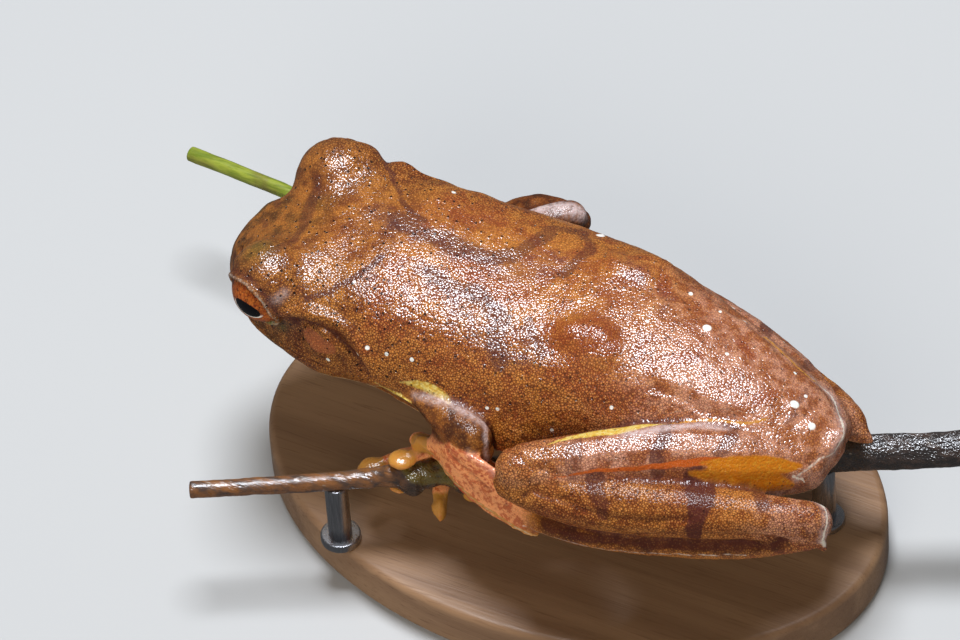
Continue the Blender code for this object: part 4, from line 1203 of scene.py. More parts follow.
# Planes, each a point and an outward direction, that the left arm's lower side keeps within
ARM_PLANES = (((31.8, 8.8, -0.5), (0.167, 0.812, -0.562)), ((28.7, 10.3, -0.5), (0.548, 0.759, -0.352)))
LEFT_SOLE_EDGE: Path = ((20.0, 12.9, -5.6), (16.0, 12.8, -5.4), (10.0, 11.9, -5.0), (3.2, 9.8, -4.0))
CHEEK_SHADE: Path = ((45.0, 6.1, -0.4), (44.1, 6.6, -0.4), (42.4, 7.2, 1.4), (41.6, 7.3, 2.2))
CHEEK_GREEN = ((43.2, 7.0, 1.3), (45.3, 5.0, 6.5))
HANDS_AND_FEET = ("hand_left", "hand_right", "foot_left", "foot_right")
DIGIT_TIPS = (
    (30.2, 8.9, -4.6), (26.4, 7.5, -6.1), (23.9, 7.1, -6.2), (20.4, 5.9, -6.2), (26.1, 9.5, -7.9),
    (28.9, 9.5, -10.8), (31.7, 9.8, -6.3), (32.1, 9.4, -9.6), (34.6, 9.4, -9.2),
    (13.8, -5.2, -8.6), (17.4, -5.7, -8.6), (21.4, -6.3, -8.6), (25.0, -8.0, -7.5), (20.8, -8.3, -7.1),
    (36.0, -7.7, -6.7), (38.4, -7.8, -7.3), (42.5, -8.7, -6.7), (40.3, -11.1, -8.2),
)
AMBER_WIDTHS: Widths = (0.05, 0.42, 0.68, 0.78, 0.52, 0.10)
EYE_CENTRE_F, EYE_MIDDLE_L, EYE_OUT, EYE_CENTRE_U = 44.2, -0.35, 5.6, 3.5


@dataclass(frozen=True)
class Line:
    """A plain coloured line on one part, with its half width, soft edge and strength."""

    path: Path
    half: float
    soft: float
    strength: float = 1.0
    part: str = "skin"


@dataclass(frozen=True)
class Band:
    """A coloured band of changing half width on one part, with its soft edge and strength."""

    path: Path
    widths: Widths
    soft: float
    strength: float = 1.0
    part: str = "skin"


# The lines along the top of the left arm, the thigh and the lid are painted sheen, highlights put into the colour;
# the other lines are pale edges of the skin
LILAC_AND_SHEEN_LINES = (
    Line(ARM_SHEEN, 0.40, 0.45, 0.80, "arms"),
    Line(ARM_EDGE, 0.15, 0.20, 1.0, "arms"),
    Line(THIGH_SHEEN, 0.40, 0.36, 0.90, "thighs"),
    Line(RIGHT_ARM_PALE, 0.60, 0.50),
    Line(HEEL_EDGE, 0.35, 0.30, 0.60),
    Line(RIGHT_EDGE, 0.45, 0.40, 0.50),
    Line(TOE_WEB, 0.25, 0.45, 0.40),
    Line(LID_SHEEN, 0.30, 0.45, 0.60),
)
PALE_LINES = (
    Line(TOE_RIM, 0.16, 0.14, 0.45),
    Line(CALCAR_TIP, 0.25, 0.20, 0.70),
    Line(WHITE_FRINGE, 0.10, 0.28, 0.85),
    Line(LEFT_SOLE_EDGE, 0.06, 0.22, 0.80),
)
COLOUR_BANDS: dict[str, tuple[Band, ...]] = {
    "yellow": (
        Band(GROIN_YELLOW, (0.03, 0.20, 0.38, 0.48, 0.46, 0.32, 0.12), 0.16),
        Band(ARM_YELLOW, (0.05, 0.40, 0.42, 0.15), 0.20, 0.85),
        Band(ARM_YELLOW_EDGE, (0.05, 0.22, 0.22, 0.05), 0.14, 0.80),
    ),
    "orange": (
        Band(UNDER_THIGH_ORANGE, (0.04, 0.14, 0.22, 0.34), 0.16, 1.0, "thigh_left"),
        Band(HIDDEN_THIGH_AMBER[Side.RIGHT], (0.9, 1.1, 0.9), 0.30, 0.90, "thigh_right"),
    ),
    "amber": (
        Band(HIDDEN_THIGH_AMBER[Side.LEFT], AMBER_WIDTHS, 0.12, 1.0, "thigh_left"),
        Band(HIDDEN_THIGH_AMBER[Side.RIGHT], AMBER_WIDTHS, 0.12, 1.0, "thigh_right"),
        Band(LOW_AMBER, (0.2, 0.6, 0.9, 1.0, 0.9, 0.5), 0.30, 1.0, "thigh_left"),
    ),
}
# How many passes each of these masks is blurred by
BAND_BLUR = {"yellow": 0, "orange": 0, "amber": 4}


@dataclass(frozen=True)
class Fold:
    """A fold along a line, or a crease where its height is below zero."""

    path: Path
    height: float
    width: float
    part: str = "skin"
    both_sides: bool = False


FOLDS = (
    Fold(EAR_FOLD, 0.34, 0.50, both_sides=True),
    Fold(EAR_CREASE, -0.42, 0.32, both_sides=True),
    Fold(SACRAL_FOLD, -0.12, 0.70, "torso", True),
    Fold(SACRAL_CREST, 0.42, 0.95, "torso", True),
    Fold(THIGH_FOLD, -0.16, 0.40, "torso", True),
    Fold(tuple((f, l - 0.8, u + 0.5) for f, l, u in THIGH_FOLD), 0.14, 0.70, "torso", True),
    Fold(BACK_WRINKLE, -0.08, 0.22, "torso"),
    Fold(((48.0, -2.6, 2.4), (46.6, -3.4, 3.4)), 0.30, 1.20, "head"),
    Fold(NAPE_SWELL, 0.60, 1.50, "trunk"),
    Fold(FLANK_SWELL, 0.80, 1.50, "torso"),
    Fold(VENT_SIDE_FOLD, -0.12, 0.35),
    Fold(KNEE_CREASE, -0.14, 0.26),
    Fold(TOE_GROOVE, -0.16, 0.20, "foot_left"),
) + tuple(Fold(path, -0.24, 0.34, f"shank_{side.word}") for side in Side for path in SHANK_CREASES[side])


@dataclass
class SkinMap:
    """The masks that the skin's material reads, worked out on the shaped skin."""

    surface: Surface
    part: dict[str, np.ndarray]
    eyes: list[EyeMeasures]
    lid_angle: float
    web_thickness: float

    def __post_init__(self) -> None:
        """Work out what several masks share."""
        surface = self.surface
        self.points = surface.points
        self.f, l, self.u = surface.points.T
        self.out = np.abs(l - middle_at(self.f))
        self.normals = surface.normals()
        self.under = smoothstep(-self.normals[:, 2], 0.25, 0.75)
        wander = np.column_stack([surface.rough(1.7, seed) for seed in (11.0, 23.0, 37.0)])
        self.moved = self.points + wander * 0.45
        self.soft = {name: surface.spread(held.astype(float), 3) for name, held in self.part.items()}
        self.head, self.torso = self.soft["head"], self.soft["torso"]
        self.trunk = np.clip(self.torso + self.head, 0, 1)
        self.digits = np.clip(self.sum_of("hand", "foot"), 0, 1)
        self.thighs, self.shanks, self.arms = (self.sum_of(word) for word in ("thigh", "shank", "arm"))
        self.domes = np.clip(sum(hump(distance - 3.3, 0.8) for distance, _ in self.eyes), 0, 1)
        self.ear = np.minimum(*(distance_to(self.points, side.turned(EAR)) for side in Side))
        self.ear_disc = 1 - smoothstep(self.ear, EAR_RADIUS - 0.35, EAR_RADIUS - 0.05)

    def sum_of(self, *words: str) -> np.ndarray:
        """The soft shares of all parts with one of the words in their names."""
        return sum(held for name, held in self.soft.items() if any(word in name for word in words))

    def line(self, path: Path, half: float, soft_edge: float, loose: bool = False) -> np.ndarray:
        """The mask of a line laid on the skin, which wavers where it is loose."""
        return stripe(self.moved if loose else self.points, self.surface.laid(path), half, soft_edge)

    def band(self, item: Band) -> np.ndarray:
        """The mask of a band of changing width laid on the skin."""
        return ribbon(self.points, self.surface.laid(item.path), item.widths, item.soft)

    def loose(self, mark: Mark) -> np.ndarray:
        """The mask of one wavering mark."""
        return self.line(mark.path, mark.half, mark.half * mark.soft, True)

    def of_marks(self, marks: tuple[Mark, ...]) -> np.ndarray:
        """The strongest of several marks at each point."""
        return most(*(mark.strength * self.loose(mark) for mark in marks))

    def store_all(self) -> None:
        """Keep every mask on the mesh."""
        belly = self.belly()
        plum = self.of_marks(DUSKY_BANDS)
        self.store_marks()
        self.store_tones(plum)
        self.store_digits()
        self.store_bright_bands()
        self.store_thin_lines()
        self.store_crease_shade()
        store = self.surface.store
        store("plum", plum)
        store("belly", belly)
        store("ear", self.ear_disc)
        f, digits, thighs, shanks = self.f, self.digits, self.thighs, self.shanks
        grainy = 0.50 + 0.40 * smoothstep(self.out, 3.0, 7.5) * self.trunk - 0.40 * self.ear_disc
        grainy = grainy - 0.15 * self.head * smoothstep(f, 41.0, 45.0) + 0.32 * shanks
        grainy = grainy + (0.12 + 0.25 * smoothstep(f, 15.5, 20.0)) * thighs
        grainy = grainy + 0.3 * digits * (1 - smoothstep(f, 17.0, 22.0))
        plain = (1 - 0.9 * belly) * (1 - 0.75 * digits * smoothstep(f, 17.0, 22.0))
        store("grainy", np.clip(grainy, 0, 1) * plain)
        pores = self.trunk * (1 - belly) * (0.55 + 0.45 * smoothstep(f, 10, 38)) + 0.5 * (thighs + shanks)
        store("pores", pores * (1 - self.line(HIDDEN_THIGH_AMBER[Side.LEFT], 1.0, 0.2)))
        snout = smoothstep(f, 44.5, 48.0)
        store("smooth", digits * 0.6 + self.arms * 0.2 + snout * 0.6 + 1 - smoothstep(self.ear, 0.8, 1.2))

    def belly(self) -> np.ndarray:
        """The mask of the pale underside.

        Returns:
            The mask.
        """
        low = most(self.under, 1 - smoothstep(self.u, -4.4, -2.6))
        throat = self.under * (1 - smoothstep(self.u, -2.6, -1.5))
        limbs = self.under * (self.thighs + self.arms + self.shanks * 0.6) * 0.9
        return most(self.torso * low, self.head * throat, limbs)

    def store_marks(self) -> None:
        """Keep the dark marks of the back and the bars of the legs, with their depth, and the painted shadow along
        the foot.
        """
        bands = [(self.loose(mark), mark.strength) for mark in BACK_MARKS]
        for side, bars in LEG_BARS.items():
            leg = self.soft[f"thigh_{side.word}"] + self.soft[f"shank_{side.word}"]
            leg = np.clip(leg + self.trunk * 0.8, 0, 1)
            for path, halves, strength in bars:
                bands.append((ribbon(self.moved, self.surface.laid(path), halves, 0.42) * leg, strength))
        mark = np.zeros(self.surface.count)
        depth = np.zeros(self.surface.count)
        for band, strength in bands:
            depth = np.where(band * strength > mark * depth, strength, depth)
            mark = most(mark, band)
        # Painted shadow along the band where the shank meets the foot, kept with the dark marks
        foot = 0.9 * self.line(FOOT_SHADE, 0.42, 0.30, True)
        depth = np.where(foot > mark * depth, 0.8, depth)
        self.surface.store("mark", most(mark, foot) * (1 - 0.6 * self.under))
        self.surface.store("depth", self.surface.spread(depth * 0.82, 2))
        self.surface.store("red", self.of_marks(RED_MARKS))

    def store_tones(self, plum: np.ndarray) -> None:
        """Keep the broad tones, the painted shade and how matt the skin is.

        Args:
            plum: The mask of the dusky bands.
        """
        f, u, head, shanks = self.f, self.u, self.head, self.shanks
        store = self.surface.store
        store("olive", head * smoothstep(f, 40.5, 44.5) * (1 - 0.75 * self.domes))
        store("pink", self.torso * (1 - smoothstep(f, 9.0, 21.0)) * 0.9 + self.thighs * (
            1 - 0.65 * smoothstep(f, 15.5, 20.0)) + shanks * (0.08 + 0.7 * (1 - smoothstep(f, 1.0, 4.5))))
        flank = self.torso * smoothstep(self.out, 5.5, 8.5) * smoothstep(f, 12.0, 22.0)
        flank = flank * (1 - smoothstep(u, 0.5, 4.0))
        flank = flank + head * (1 - smoothstep(u, 0.0, 3.2)) * smoothstep(self.out, 5.0, 7.5) * 0.7
        store("flank", flank)
        matt = self.arms * 0.6 + shanks * 0.75 + 0.35 * flank + 0.30 * head - 0.7 * plum - 0.7 * self.domes * head
        store("matt", most(matt, 1.1 * self.line(FOOT_SHADE, 0.5, 0.4)))
        # Painted shade: the arms, lying in the body's shadow, the head's top under the bright key light and the
        # band where the shank meets the foot are darkened in colour. The same mask also darkens the cheeks and a
        # ring round the eardrum, and holds the toe freckles, which are the skin's own colour.
        shade = 0.95 * self.arms + 0.34 * shanks * (0.5 + 0.5 * smoothstep(f, 5.0, 11.0))
        shade = shade + head * (0.42 + 0.33 * smoothstep(f, 43.0, 47.5))
        shade = most(
            shade, 0.42 * self.line(TOE_FRECKLES, 0.4, 1.3), 0.95 * self.line(FOOT_SHADE, 0.75, 0.45, True),
            0.62 * hump(self.ear - EAR_RADIUS - 0.40, 0.60)) * (1 - 0.8 * self.ear_disc)
        cheeks = [0.80 * hump(distance_to(self.points, side.turned(CHEEK_SHADE)), 0.95) * head for side in Side]
        store("shade", most(shade, *cheeks) * (1 - 0.7 * self.under))
        spot, streak = (distance_to(self.points, (corner,)) for corner in CHEEK_GREEN)
        store("green", most(hump(spot, 0.7), 0.22 * hump(streak, 1.3)))

    def thickness(self) -> np.ndarray:
        """How thick the flesh is under each point of the hands and feet, and 9 elsewhere.

        Returns:
            The thickness in millimetres.
        """
        self.surface.write()
        mesh = self.surface.item.data
        tree = tree_of(mesh)
        result = np.full(self.surface.count, 9.0)
        for index in np.flatnonzero(self.digits > 0.3):
            vert = mesh.vertices[int(index)]
            inward = -vert.normal
            hit = tree.ray_cast(vert.co + inward * 0.05 * MM, inward, 6 * MM)
            if hit[0] is not None:
                result[index] = hit[3] / MM
        return result

    def store_digits(self) -> None:
        """Keep the masks of the hands, the feet, their webs and their tips."""
        feet = self.sum_of("foot")
        self.surface.store("web", self.digits - feet * (1 - smoothstep(self.f, 18.0, 22.0)))
        thin = 1 - smoothstep(self.thickness(), self.web_thickness - 0.2, self.web_thickness + 0.2)
        webbing = self.surface.spread(thin, 2) * (1 - 0.85 * self.line(TOE_GROOVE, 2.4, 0.5))
        self.surface.store("webbing", most(webbing, 0.9 * self.line(TOE_VEIN, 0.10, 0.24)))
        tips = most(*(1 - smoothstep(distance_to(self.points, (tip,)), 0.7, 1.7) for tip in DIGIT_TIPS))
        self.surface.store("tip", most(tips * self.digits * 0.9, 0.95 * self.line(TOE_RIM, 0.16, 0.14)))

    def of_lines(self, lines: tuple[Line, ...]) -> np.ndarray:
        """The strongest of several lines at each point."""
        return most(*(item.strength * self.line(item.path, item.half, item.soft) * self.soft[item.part]
                      for item in lines))

    def store_bright_bands(self) -> None:
        """Keep the yellow, orange, amber and pale bands, and the lilac lines with the painted sheen."""
        self.soft.update(skin=np.ones(self.surface.count), arms=self.arms, thighs=self.thighs)
        for name, bands in COLOUR_BANDS.items():
            held = most(*(item.strength * self.band(item) * self.soft[item.part] for item in bands))
            self.surface.store(name, self.surface.spread(held, BAND_BLUR[name]))
        self.surface.store("lilac_and_sheen", self.of_lines(LILAC_AND_SHEEN_LINES))
        lids = sum(hump(angle - self.lid_angle + 6, 3.6) * hump(distance - 3.1, 0.5)
                   for distance, angle in self.eyes)
        self.surface.store("pale", most(self.of_lines(PALE_LINES), 0.50 * lids * self.head))

    def store_thin_lines(self) -> None:
        """Keep the place and tint of the thin lines."""
        yellow_lines = (GROIN_THREAD, RIGHT_CREAM)
        paths = [self.surface.laid(path) for path in (HEEL_EDGE, RIGHT_EDGE) + yellow_lines]
        side, near = self.surface.thin_lines(paths, self.normals)
        self.surface.store("line_side", side)
        self.surface.store("line_near", near)
        self.surface.store("line_tint", sum(self.line(path, 0.8, 0.2) for path in yellow_lines))

    def store_crease_shade(self) -> None:
        """Keep the mask of painted shade, which darkens the hollows, the creases and the edges of the lids."""
        smoothed = np.column_stack([self.surface.spread(self.points[:, k], 10) for k in range(3)])
        relief = np.einsum("ij,ij->i", self.points - smoothed, self.normals)
        masks = [smoothstep(-relief, 0.02, 0.14)]
        for side in Side:
            masks.append(0.95 * self.line(side.turned(EAR_CREASE), 0.24, 0.22))
            masks += [0.75 * self.line(path, 0.06, 0.22) for path in SHANK_CREASES[side]]
        # Painted shadow along the edge of each lid
        for distance, angle in self.eyes:
            masks.append(hump(angle - self.lid_angle - 0.5, 4.0) * hump(distance - 3.1, 0.5) * self.head)
            masks.append(hump(angle - self.lid_angle + 14, 4.0) * hump(distance - 3.0, 0.4) * self.head)
        self.surface.store("crease", most(*masks))


@dataclass
class Skin:
    """One closed skin over the trunk, head and limbs, with its folds, warts and markings."""

    voxel: float = 0.25
    body_growth: float = 0.20
    digit_growth: float = 0.13
    shrink_back: float = 0.10
    even_rounds: int = 14
    neck_f: float = 36.0
    neck_rounds: int = 60
    back_rounds: int = 25
    fill_rounds: int = 110
    lid_radius: float = 3.18
    lid_angle: float = 62.0
    lid_drop: float = 13.0
    web_thickness: float = 0.80
    web_blade: float = 0.60
    web_camber: float = 0.30
    disc_halves: Path = ((0.62, 0.86, 0.34), (0.40, 0.90, 0.34), (0.36, 0.70, 0.34))
    wart_height: float = 0.55
    wart_width: float = 1.1
    spur_reach: float = 0.75

    def flesh_nodes(self) -> list[str]:
        """The CAD nodes that the skin stands for."""
        plain = ("stand", "perch", "eye")
        return sorted(name for name in frame["nodes"] if not name.startswith(plain))

    def build(self, finish: SkinFinish) -> bpy.types.Object:
        """Make, shape and dress the skin.

        Args:
            finish: The skin's material.

        Returns:
            The finished piece.
        """
        names = self.flesh_nodes()
        copies = []
        owners: list[int] = []
        for index, name in enumerate(names):
            item = copy_of_node(name)
            grow(item, self.digit_growth if name in HANDS_AND_FEET else self.body_growth)
            owners += [index] * len(item.data.polygons)
            copies.append(item)
        for item, name in ((self.toe_web(), "foot_left"), (self.hanging_disc(), "hand_left")):
            owners += [names.index(name)] * len(item.data.polygons)
            copies.append(item)
        item = joined(copies, "frog_skin")
        tree = tree_of(item.data)
        apply_modifier(item, "REMESH", mode="VOXEL", voxel_size=self.voxel * MM)
        keep_shell_at(item, place(20.0, -1.8, 5.5))
        surface = Surface(item)
        log.info("skin: %d points", surface.count)
        found = [tree.find_nearest(vert.co)[2] for vert in item.data.vertices]
        owner = np.array(owners)[np.array(found)]
        part = {name: owner == index for index, name in enumerate(names)}
        self.even_out(surface, part)
        eyes = self.sculpt(surface, part)
        SkinMap(surface, part, eyes, self.lid_angle, self.web_thickness).store_all()
        surface.write()
        item.data.materials.clear()
        item.data.materials.append(finish.build(self.spots_on(surface)))
        item.data.shade_smooth()
        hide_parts(*names)
        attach(item, "root")
        return item

    def toe_web(self) -> bpy.types.Object:
        """The left foot's outer toe and its web: a thin blade between two edges.

        Returns:
            The blade.
        """
        deselect_all()
        bpy.ops.mesh.primitive_grid_add(x_subdivisions=48, y_subdivisions=10, size=2.0)
        item = bpy.context.object
        edges = [np.array(edge) for edge in (TOE_LOWER_EDGE, TOE_UPPER_EDGE)]
        steps = np.linspace(-1, 1, len(TOE_LOWER_EDGE))
        for vert in item.data.vertices:
            low, high = (np.array([np.interp(vert.co.x, steps, edge[:, k]) for k in range(3)]) for edge in edges)
            share = (vert.co.y + 1) / 2
            spot = low + (high - low) * share + np.array(OUTWARD) * self.web_camber * math.sin(math.pi * share)
            vert.co = place(*spot)
        apply_modifier(item, "SOLIDIFY", thickness=self.web_blade * MM, offset=0.0)
        return item

    def hanging_disc(self) -> bpy.types.Object:
        """The broad, flat disc and short neck of the left finger that hangs below the twig.

        Returns:
            The disc.
        """
        outward = aim(*OUTWARD)
        along = (place(*HANGING_DISC[-1]) - place(*HANGING_DISC[0])).normalized()
        across = along.cross(outward).normalized()
        pieces = []
        for spot, half in zip(HANGING_DISC, self.disc_halves):
            deselect_all()
            bpy.ops.mesh.primitive_uv_sphere_add(segments=24, ring_count=16, radius=1.0, location=(0, 0, 0))
            item = bpy.context.object
            axes = (across * half[0] * MM, along * half[1] * MM, across.cross(along) * half[2] * MM)
            turn = Matrix(axes).transposed().to_4x4()
            item.data.transform(Matrix.Translation(place(*spot)) @ turn)
            pieces.append(item)
        return joined(pieces, "hanging_disc")

    def spots_on(self, surface: Surface) -> Spots:
        """The white spots, each moved onto the finished skin.

        Args:
            surface: The skin's points.

        Returns:
            The moved spots.
        """
        tree = tree_of(surface.item.data)
        spots = []
        for f, l, u, radius in WHITE_SPOTS:
            near = tree.find_nearest(place(f, l, u))[0] / MM
            spots.append((BASE_CENTRE_F - near.x, BASE_CENTRE_L - near.y, near.z - VENT_HEIGHT, radius))
        return tuple(spots)

    def eye_axis(self, side: Side) -> tuple[np.ndarray, np.ndarray]:
        """The centre of an eye's ball and the direction that its lids open to.

        Args:
            side: Which eye.

        Returns:
            The centre and the unit direction, in frog measures.
        """
        centre = np.array((EYE_CENTRE_F, EYE_MIDDLE_L + side.value * EYE_OUT, EYE_CENTRE_U))
        opening = np.array((0.36, side.value, -0.12))
        return centre, opening / np.linalg.norm(opening)

    def eye_measures(self, points: np.ndarray, side: Side) -> EyeMeasures:
        """Each point's distance from an eye's centre and its angle off the eye's line of sight.

        Args:
            points: Rows of f, l and u.
            side: Which side.

        Returns:
            Distances in millimetres and angles in degrees.
        """
        centre, sight = self.eye_axis(side)
        away = points - centre
        distance = np.linalg.norm(away, axis=1)
        return distance, np.degrees(np.arccos(np.clip(away @ sight / np.maximum(distance, 1e-6), -1, 1)))

    def even_out(self, surface: Surface, part: dict[str, np.ndarray]) -> None:
        """Smooth away voxel steps, the cuts between the solids and the hard creases round the lids.

        Args:
            surface: The skin's points.
            part: For each CAD node, which points are nearest to it.
        """
        digits = np.zeros(surface.count)
        for name in HANDS_AND_FEET:
            digits[part[name]] = 1.0
        digits = surface.spread(digits, 6)
        surface.smooth(self.even_rounds, 1 - 0.45 * digits)
        trunk = np.zeros(surface.count)
        trunk[part["torso"] | part["head"]] = 1.0
        self.press_arm(surface, part)
        f = surface.points[:, 0]
        neck = trunk * (1 - smoothstep(np.abs(f - self.neck_f), 0.9, 2.4))
        surface.smooth(self.neck_rounds, neck, keep_size=False)
        surface.smooth(self.back_rounds, surface.spread(trunk, 8) * (1 - smoothstep(f, 37.0, 39.0)))
        limbs = surface.spread(1 - trunk, 10)
        fill = trunk * (1 - smoothstep(limbs, 0.02, 0.3))
        for side in Side:
            distance, angle = self.eye_measures(surface.points, side)
            round_eye = 1 - smoothstep(angle, self.lid_angle + 8, self.lid_angle + 22)
            fill = fill * (1 - round_eye * (1 - smoothstep(distance, 3.6, 4.6)))
        surface.fill_hollows(fill * smoothstep(surface.points[:, 2], 0.6, 2.4), self.fill_rounds)
        surface.smooth(8, fill)
        surface.lift(np.full(surface.count, -self.shrink_back))

    def press_arm(self, surface: Surface, part: dict[str, np.ndarray]) -> None:
        """Draw the left arm's lower side in to the planes that bound it.

        Args:
            surface: The skin's points.
            part: For each CAD node, which points are nearest to it.
        """
        arm = surface.spread((part["upper_arm_left"] | part["forearm_left"]).astype(float), 2)
        points = surface.points
        weight = arm * smoothstep(points @ np.array(VIEW_UP), -0.8, -0.1)
        past = [(points - np.array(spot)) @ np.array(outward) for spot, outward in ARM_PLANES]
        first = past[0] < past[1]
        excess = np.maximum(np.where(first, past[0], past[1]), 0) * weight * 0.85
        outward = np.where(first[:, None], np.array(ARM_PLANES[0][1]), np.array(ARM_PLANES[1][1]))
        surface.points = points - outward * excess[:, None]
        surface.smooth(6, surface.spread((excess > 0.02).astype(float), 3))

    def draw_lid(self, surface: Surface, side: Side, weight: np.ndarray) -> None:
        """Draw the upper and rear rim of a lid over the ball.

        Args:
            surface: The skin's points.
            side: Which side.
            weight: How much each point takes part, from 0 to 1.
        """
        centre, sight = self.eye_axis(side)
        away = surface.points - centre
        distance = np.linalg.norm(away, axis=1)
        along = away @ sight
        across = away - along[:, None] * sight
        reach = np.maximum(np.linalg.norm(across, axis=1), 1e-6)
        across /= reach[:, None]
        facing = across @ np.array((-0.34, 0.0, 0.94))
        turn = np.arctan2(reach, along) - math.radians(self.lid_drop) * weight * smoothstep(facing, -0.35, 0.75)
        near = np.abs(weight) > 0.001
        moved = centre + distance[:, None] * (np.cos(turn)[:, None] * sight + np.sin(turn)[:, None] * across)
        surface.points = np.where(near[:, None], moved, surface.points)

    def sculpt(self, surface: Surface, part: dict[str, np.ndarray]) -> list[EyeMeasures]:
        """Add lids, nostrils, mouth line, folds, creases and warts.

        Args:
            surface: The skin's points.
            part: For each CAD node, which points are nearest to it.

        Returns:
            Each eye's distances and angles from before its lid was drawn over.
        """
        points = surface.points
        where = {"skin": np.ones(surface.count)}
        for name, rounds in (("head", 4), ("torso", 4), ("shank_left", 2), ("shank_right", 2), ("foot_left", 1)):
            where[name] = surface.spread(part[name].astype(float), rounds)
        head, torso = where["head"], where["torso"]
        where["trunk"] = np.clip(head + torso, 0, 1)
        heights = np.zeros(surface.count)

        def gap(path: Path) -> np.ndarray:
            """Each point's distance from a path laid on the skin."""
            return distance_to(points, surface.laid(path))

        for fold in FOLDS:
            for path in (fold.path, mirrored(fold.path)) if fold.both_sides else (fold.path,):
                heights += fold.height * hump(gap(path), fold.width) * where[fold.part]
        for side in Side:
            ear = gap(side.turned(EAR))
            heights -= 0.12 * hump(ear - EAR_RADIUS, 0.24) + 0.05 * (1 - smoothstep(ear, 0.7, EAR_RADIUS))
            nostril = gap(side.turned((NOSTRIL,)))
            heights += 0.10 * hump(nostril - 0.48, 0.25) - 0.42 * hump(nostril, 0.26)
            distance, angle = self.eye_measures(points, side)
            near = hump(distance - self.lid_radius, 0.50) * head
            for height, turn, width in LID_FOLDS:
                heights += height * hump(angle - self.lid_angle - turn, width) * near
        line = np.array(MOUTH_LINE)
        lip = points[:, 2] - np.interp(points[:, 0], line[:, 0], line[:, 1])
        fore = smoothstep(points[:, 0], 37.6, 38.6) * head
        for height, above, width in LIP_FOLDS:
            heights += height * hump(lip - above, width) * fore
        furrows = np.array(((0.35, 0.35, 0.0), (-0.9, 0.9, 0.0), (0.0, 0.0, 1.0)))
        heights += 0.07 * surface.rough(1.6, 5.5, furrows) * torso * smoothstep(points[:, 0], 14.0, 22.0)
        for spot in WHITE_SPOTS:
            heights += self.wart_height * spot[3] * hump(gap((spot[:3],)), spot[3] * self.wart_width)
        for size, seed, height, on_limbs in RELIEF:
            share = on_limbs + (1 - on_limbs) * where["trunk"]
            heights += surface.rough(size, seed) * height * share
        eyes = [self.eye_measures(points, side) for side in Side]
        surface.lift(heights)
        surface.smooth(1, 0.5)
        pulled = hump(distance_to(surface.points, (RIGHT_SPUR,)), self.spur_reach)
        surface.points = surface.points + pulled[:, None] * np.array(RIGHT_SPUR_PULL)
        for side, (distance, angle) in zip(Side, eyes):
            weight = head * (1 - smoothstep(angle, 58, 86)) * (1 - smoothstep(distance, 3.5, 4.4))
            self.draw_lid(surface, side, weight)
        return eyes


@dataclass
class Eye:
    """One eyeball with a bulging cornea."""

    side: Side
    radius: float = 2.68
    bulge: float = 0.16
    shift: Corner = (0.2, 0.36, -0.2)
    sight: Corner = (0.14, 0.98, 0.01)
    level: Corner = (-0.92, 0.13, -0.20)

    def build(self, finish: EyeFinish) -> bpy.types.Object:
        """Model and dress the eye.

        Args:
            finish: What it is finished in.

        Returns:
            The finished piece.
        """
        ahead, out, up = self.shift
        centre = place(EYE_CENTRE_F + ahead, EYE_MIDDLE_L + self.side.value * (EYE_OUT + out), EYE_CENTRE_U + up)
        sight = aim(self.sight[0], self.side.value * self.sight[1], self.sight[2])
        level = aim(self.level[0], self.side.value * self.level[1], self.level[2])
        level = (level - sight * level.dot(sight)).normalized()
        deselect_all()
        bpy.ops.mesh.primitive_uv_sphere_add(segments=72, ring_count=48, radius=self.radius * MM)
        item = bpy.context.object
        item.name = f"frog_eye_{self.side.word}"
        item.data.name = item.name
        for vert in item.data.vertices:
            rise = max(vert.co.z / (self.radius * MM), 0.0)
            vert.co.z += self.bulge * MM * rise ** 3
        turn = Matrix((level, sight.cross(level), sight)).transposed().to_4x4()
        item.data.transform(Matrix.Translation(centre) @ turn)
        item.data.shade_smooth()
        item.data.materials.append(finish.build(f"iris_{self.side.word}", centre, sight, level))
        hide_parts(f"eye_{self.side.word}")
        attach(item, "root")
        return item


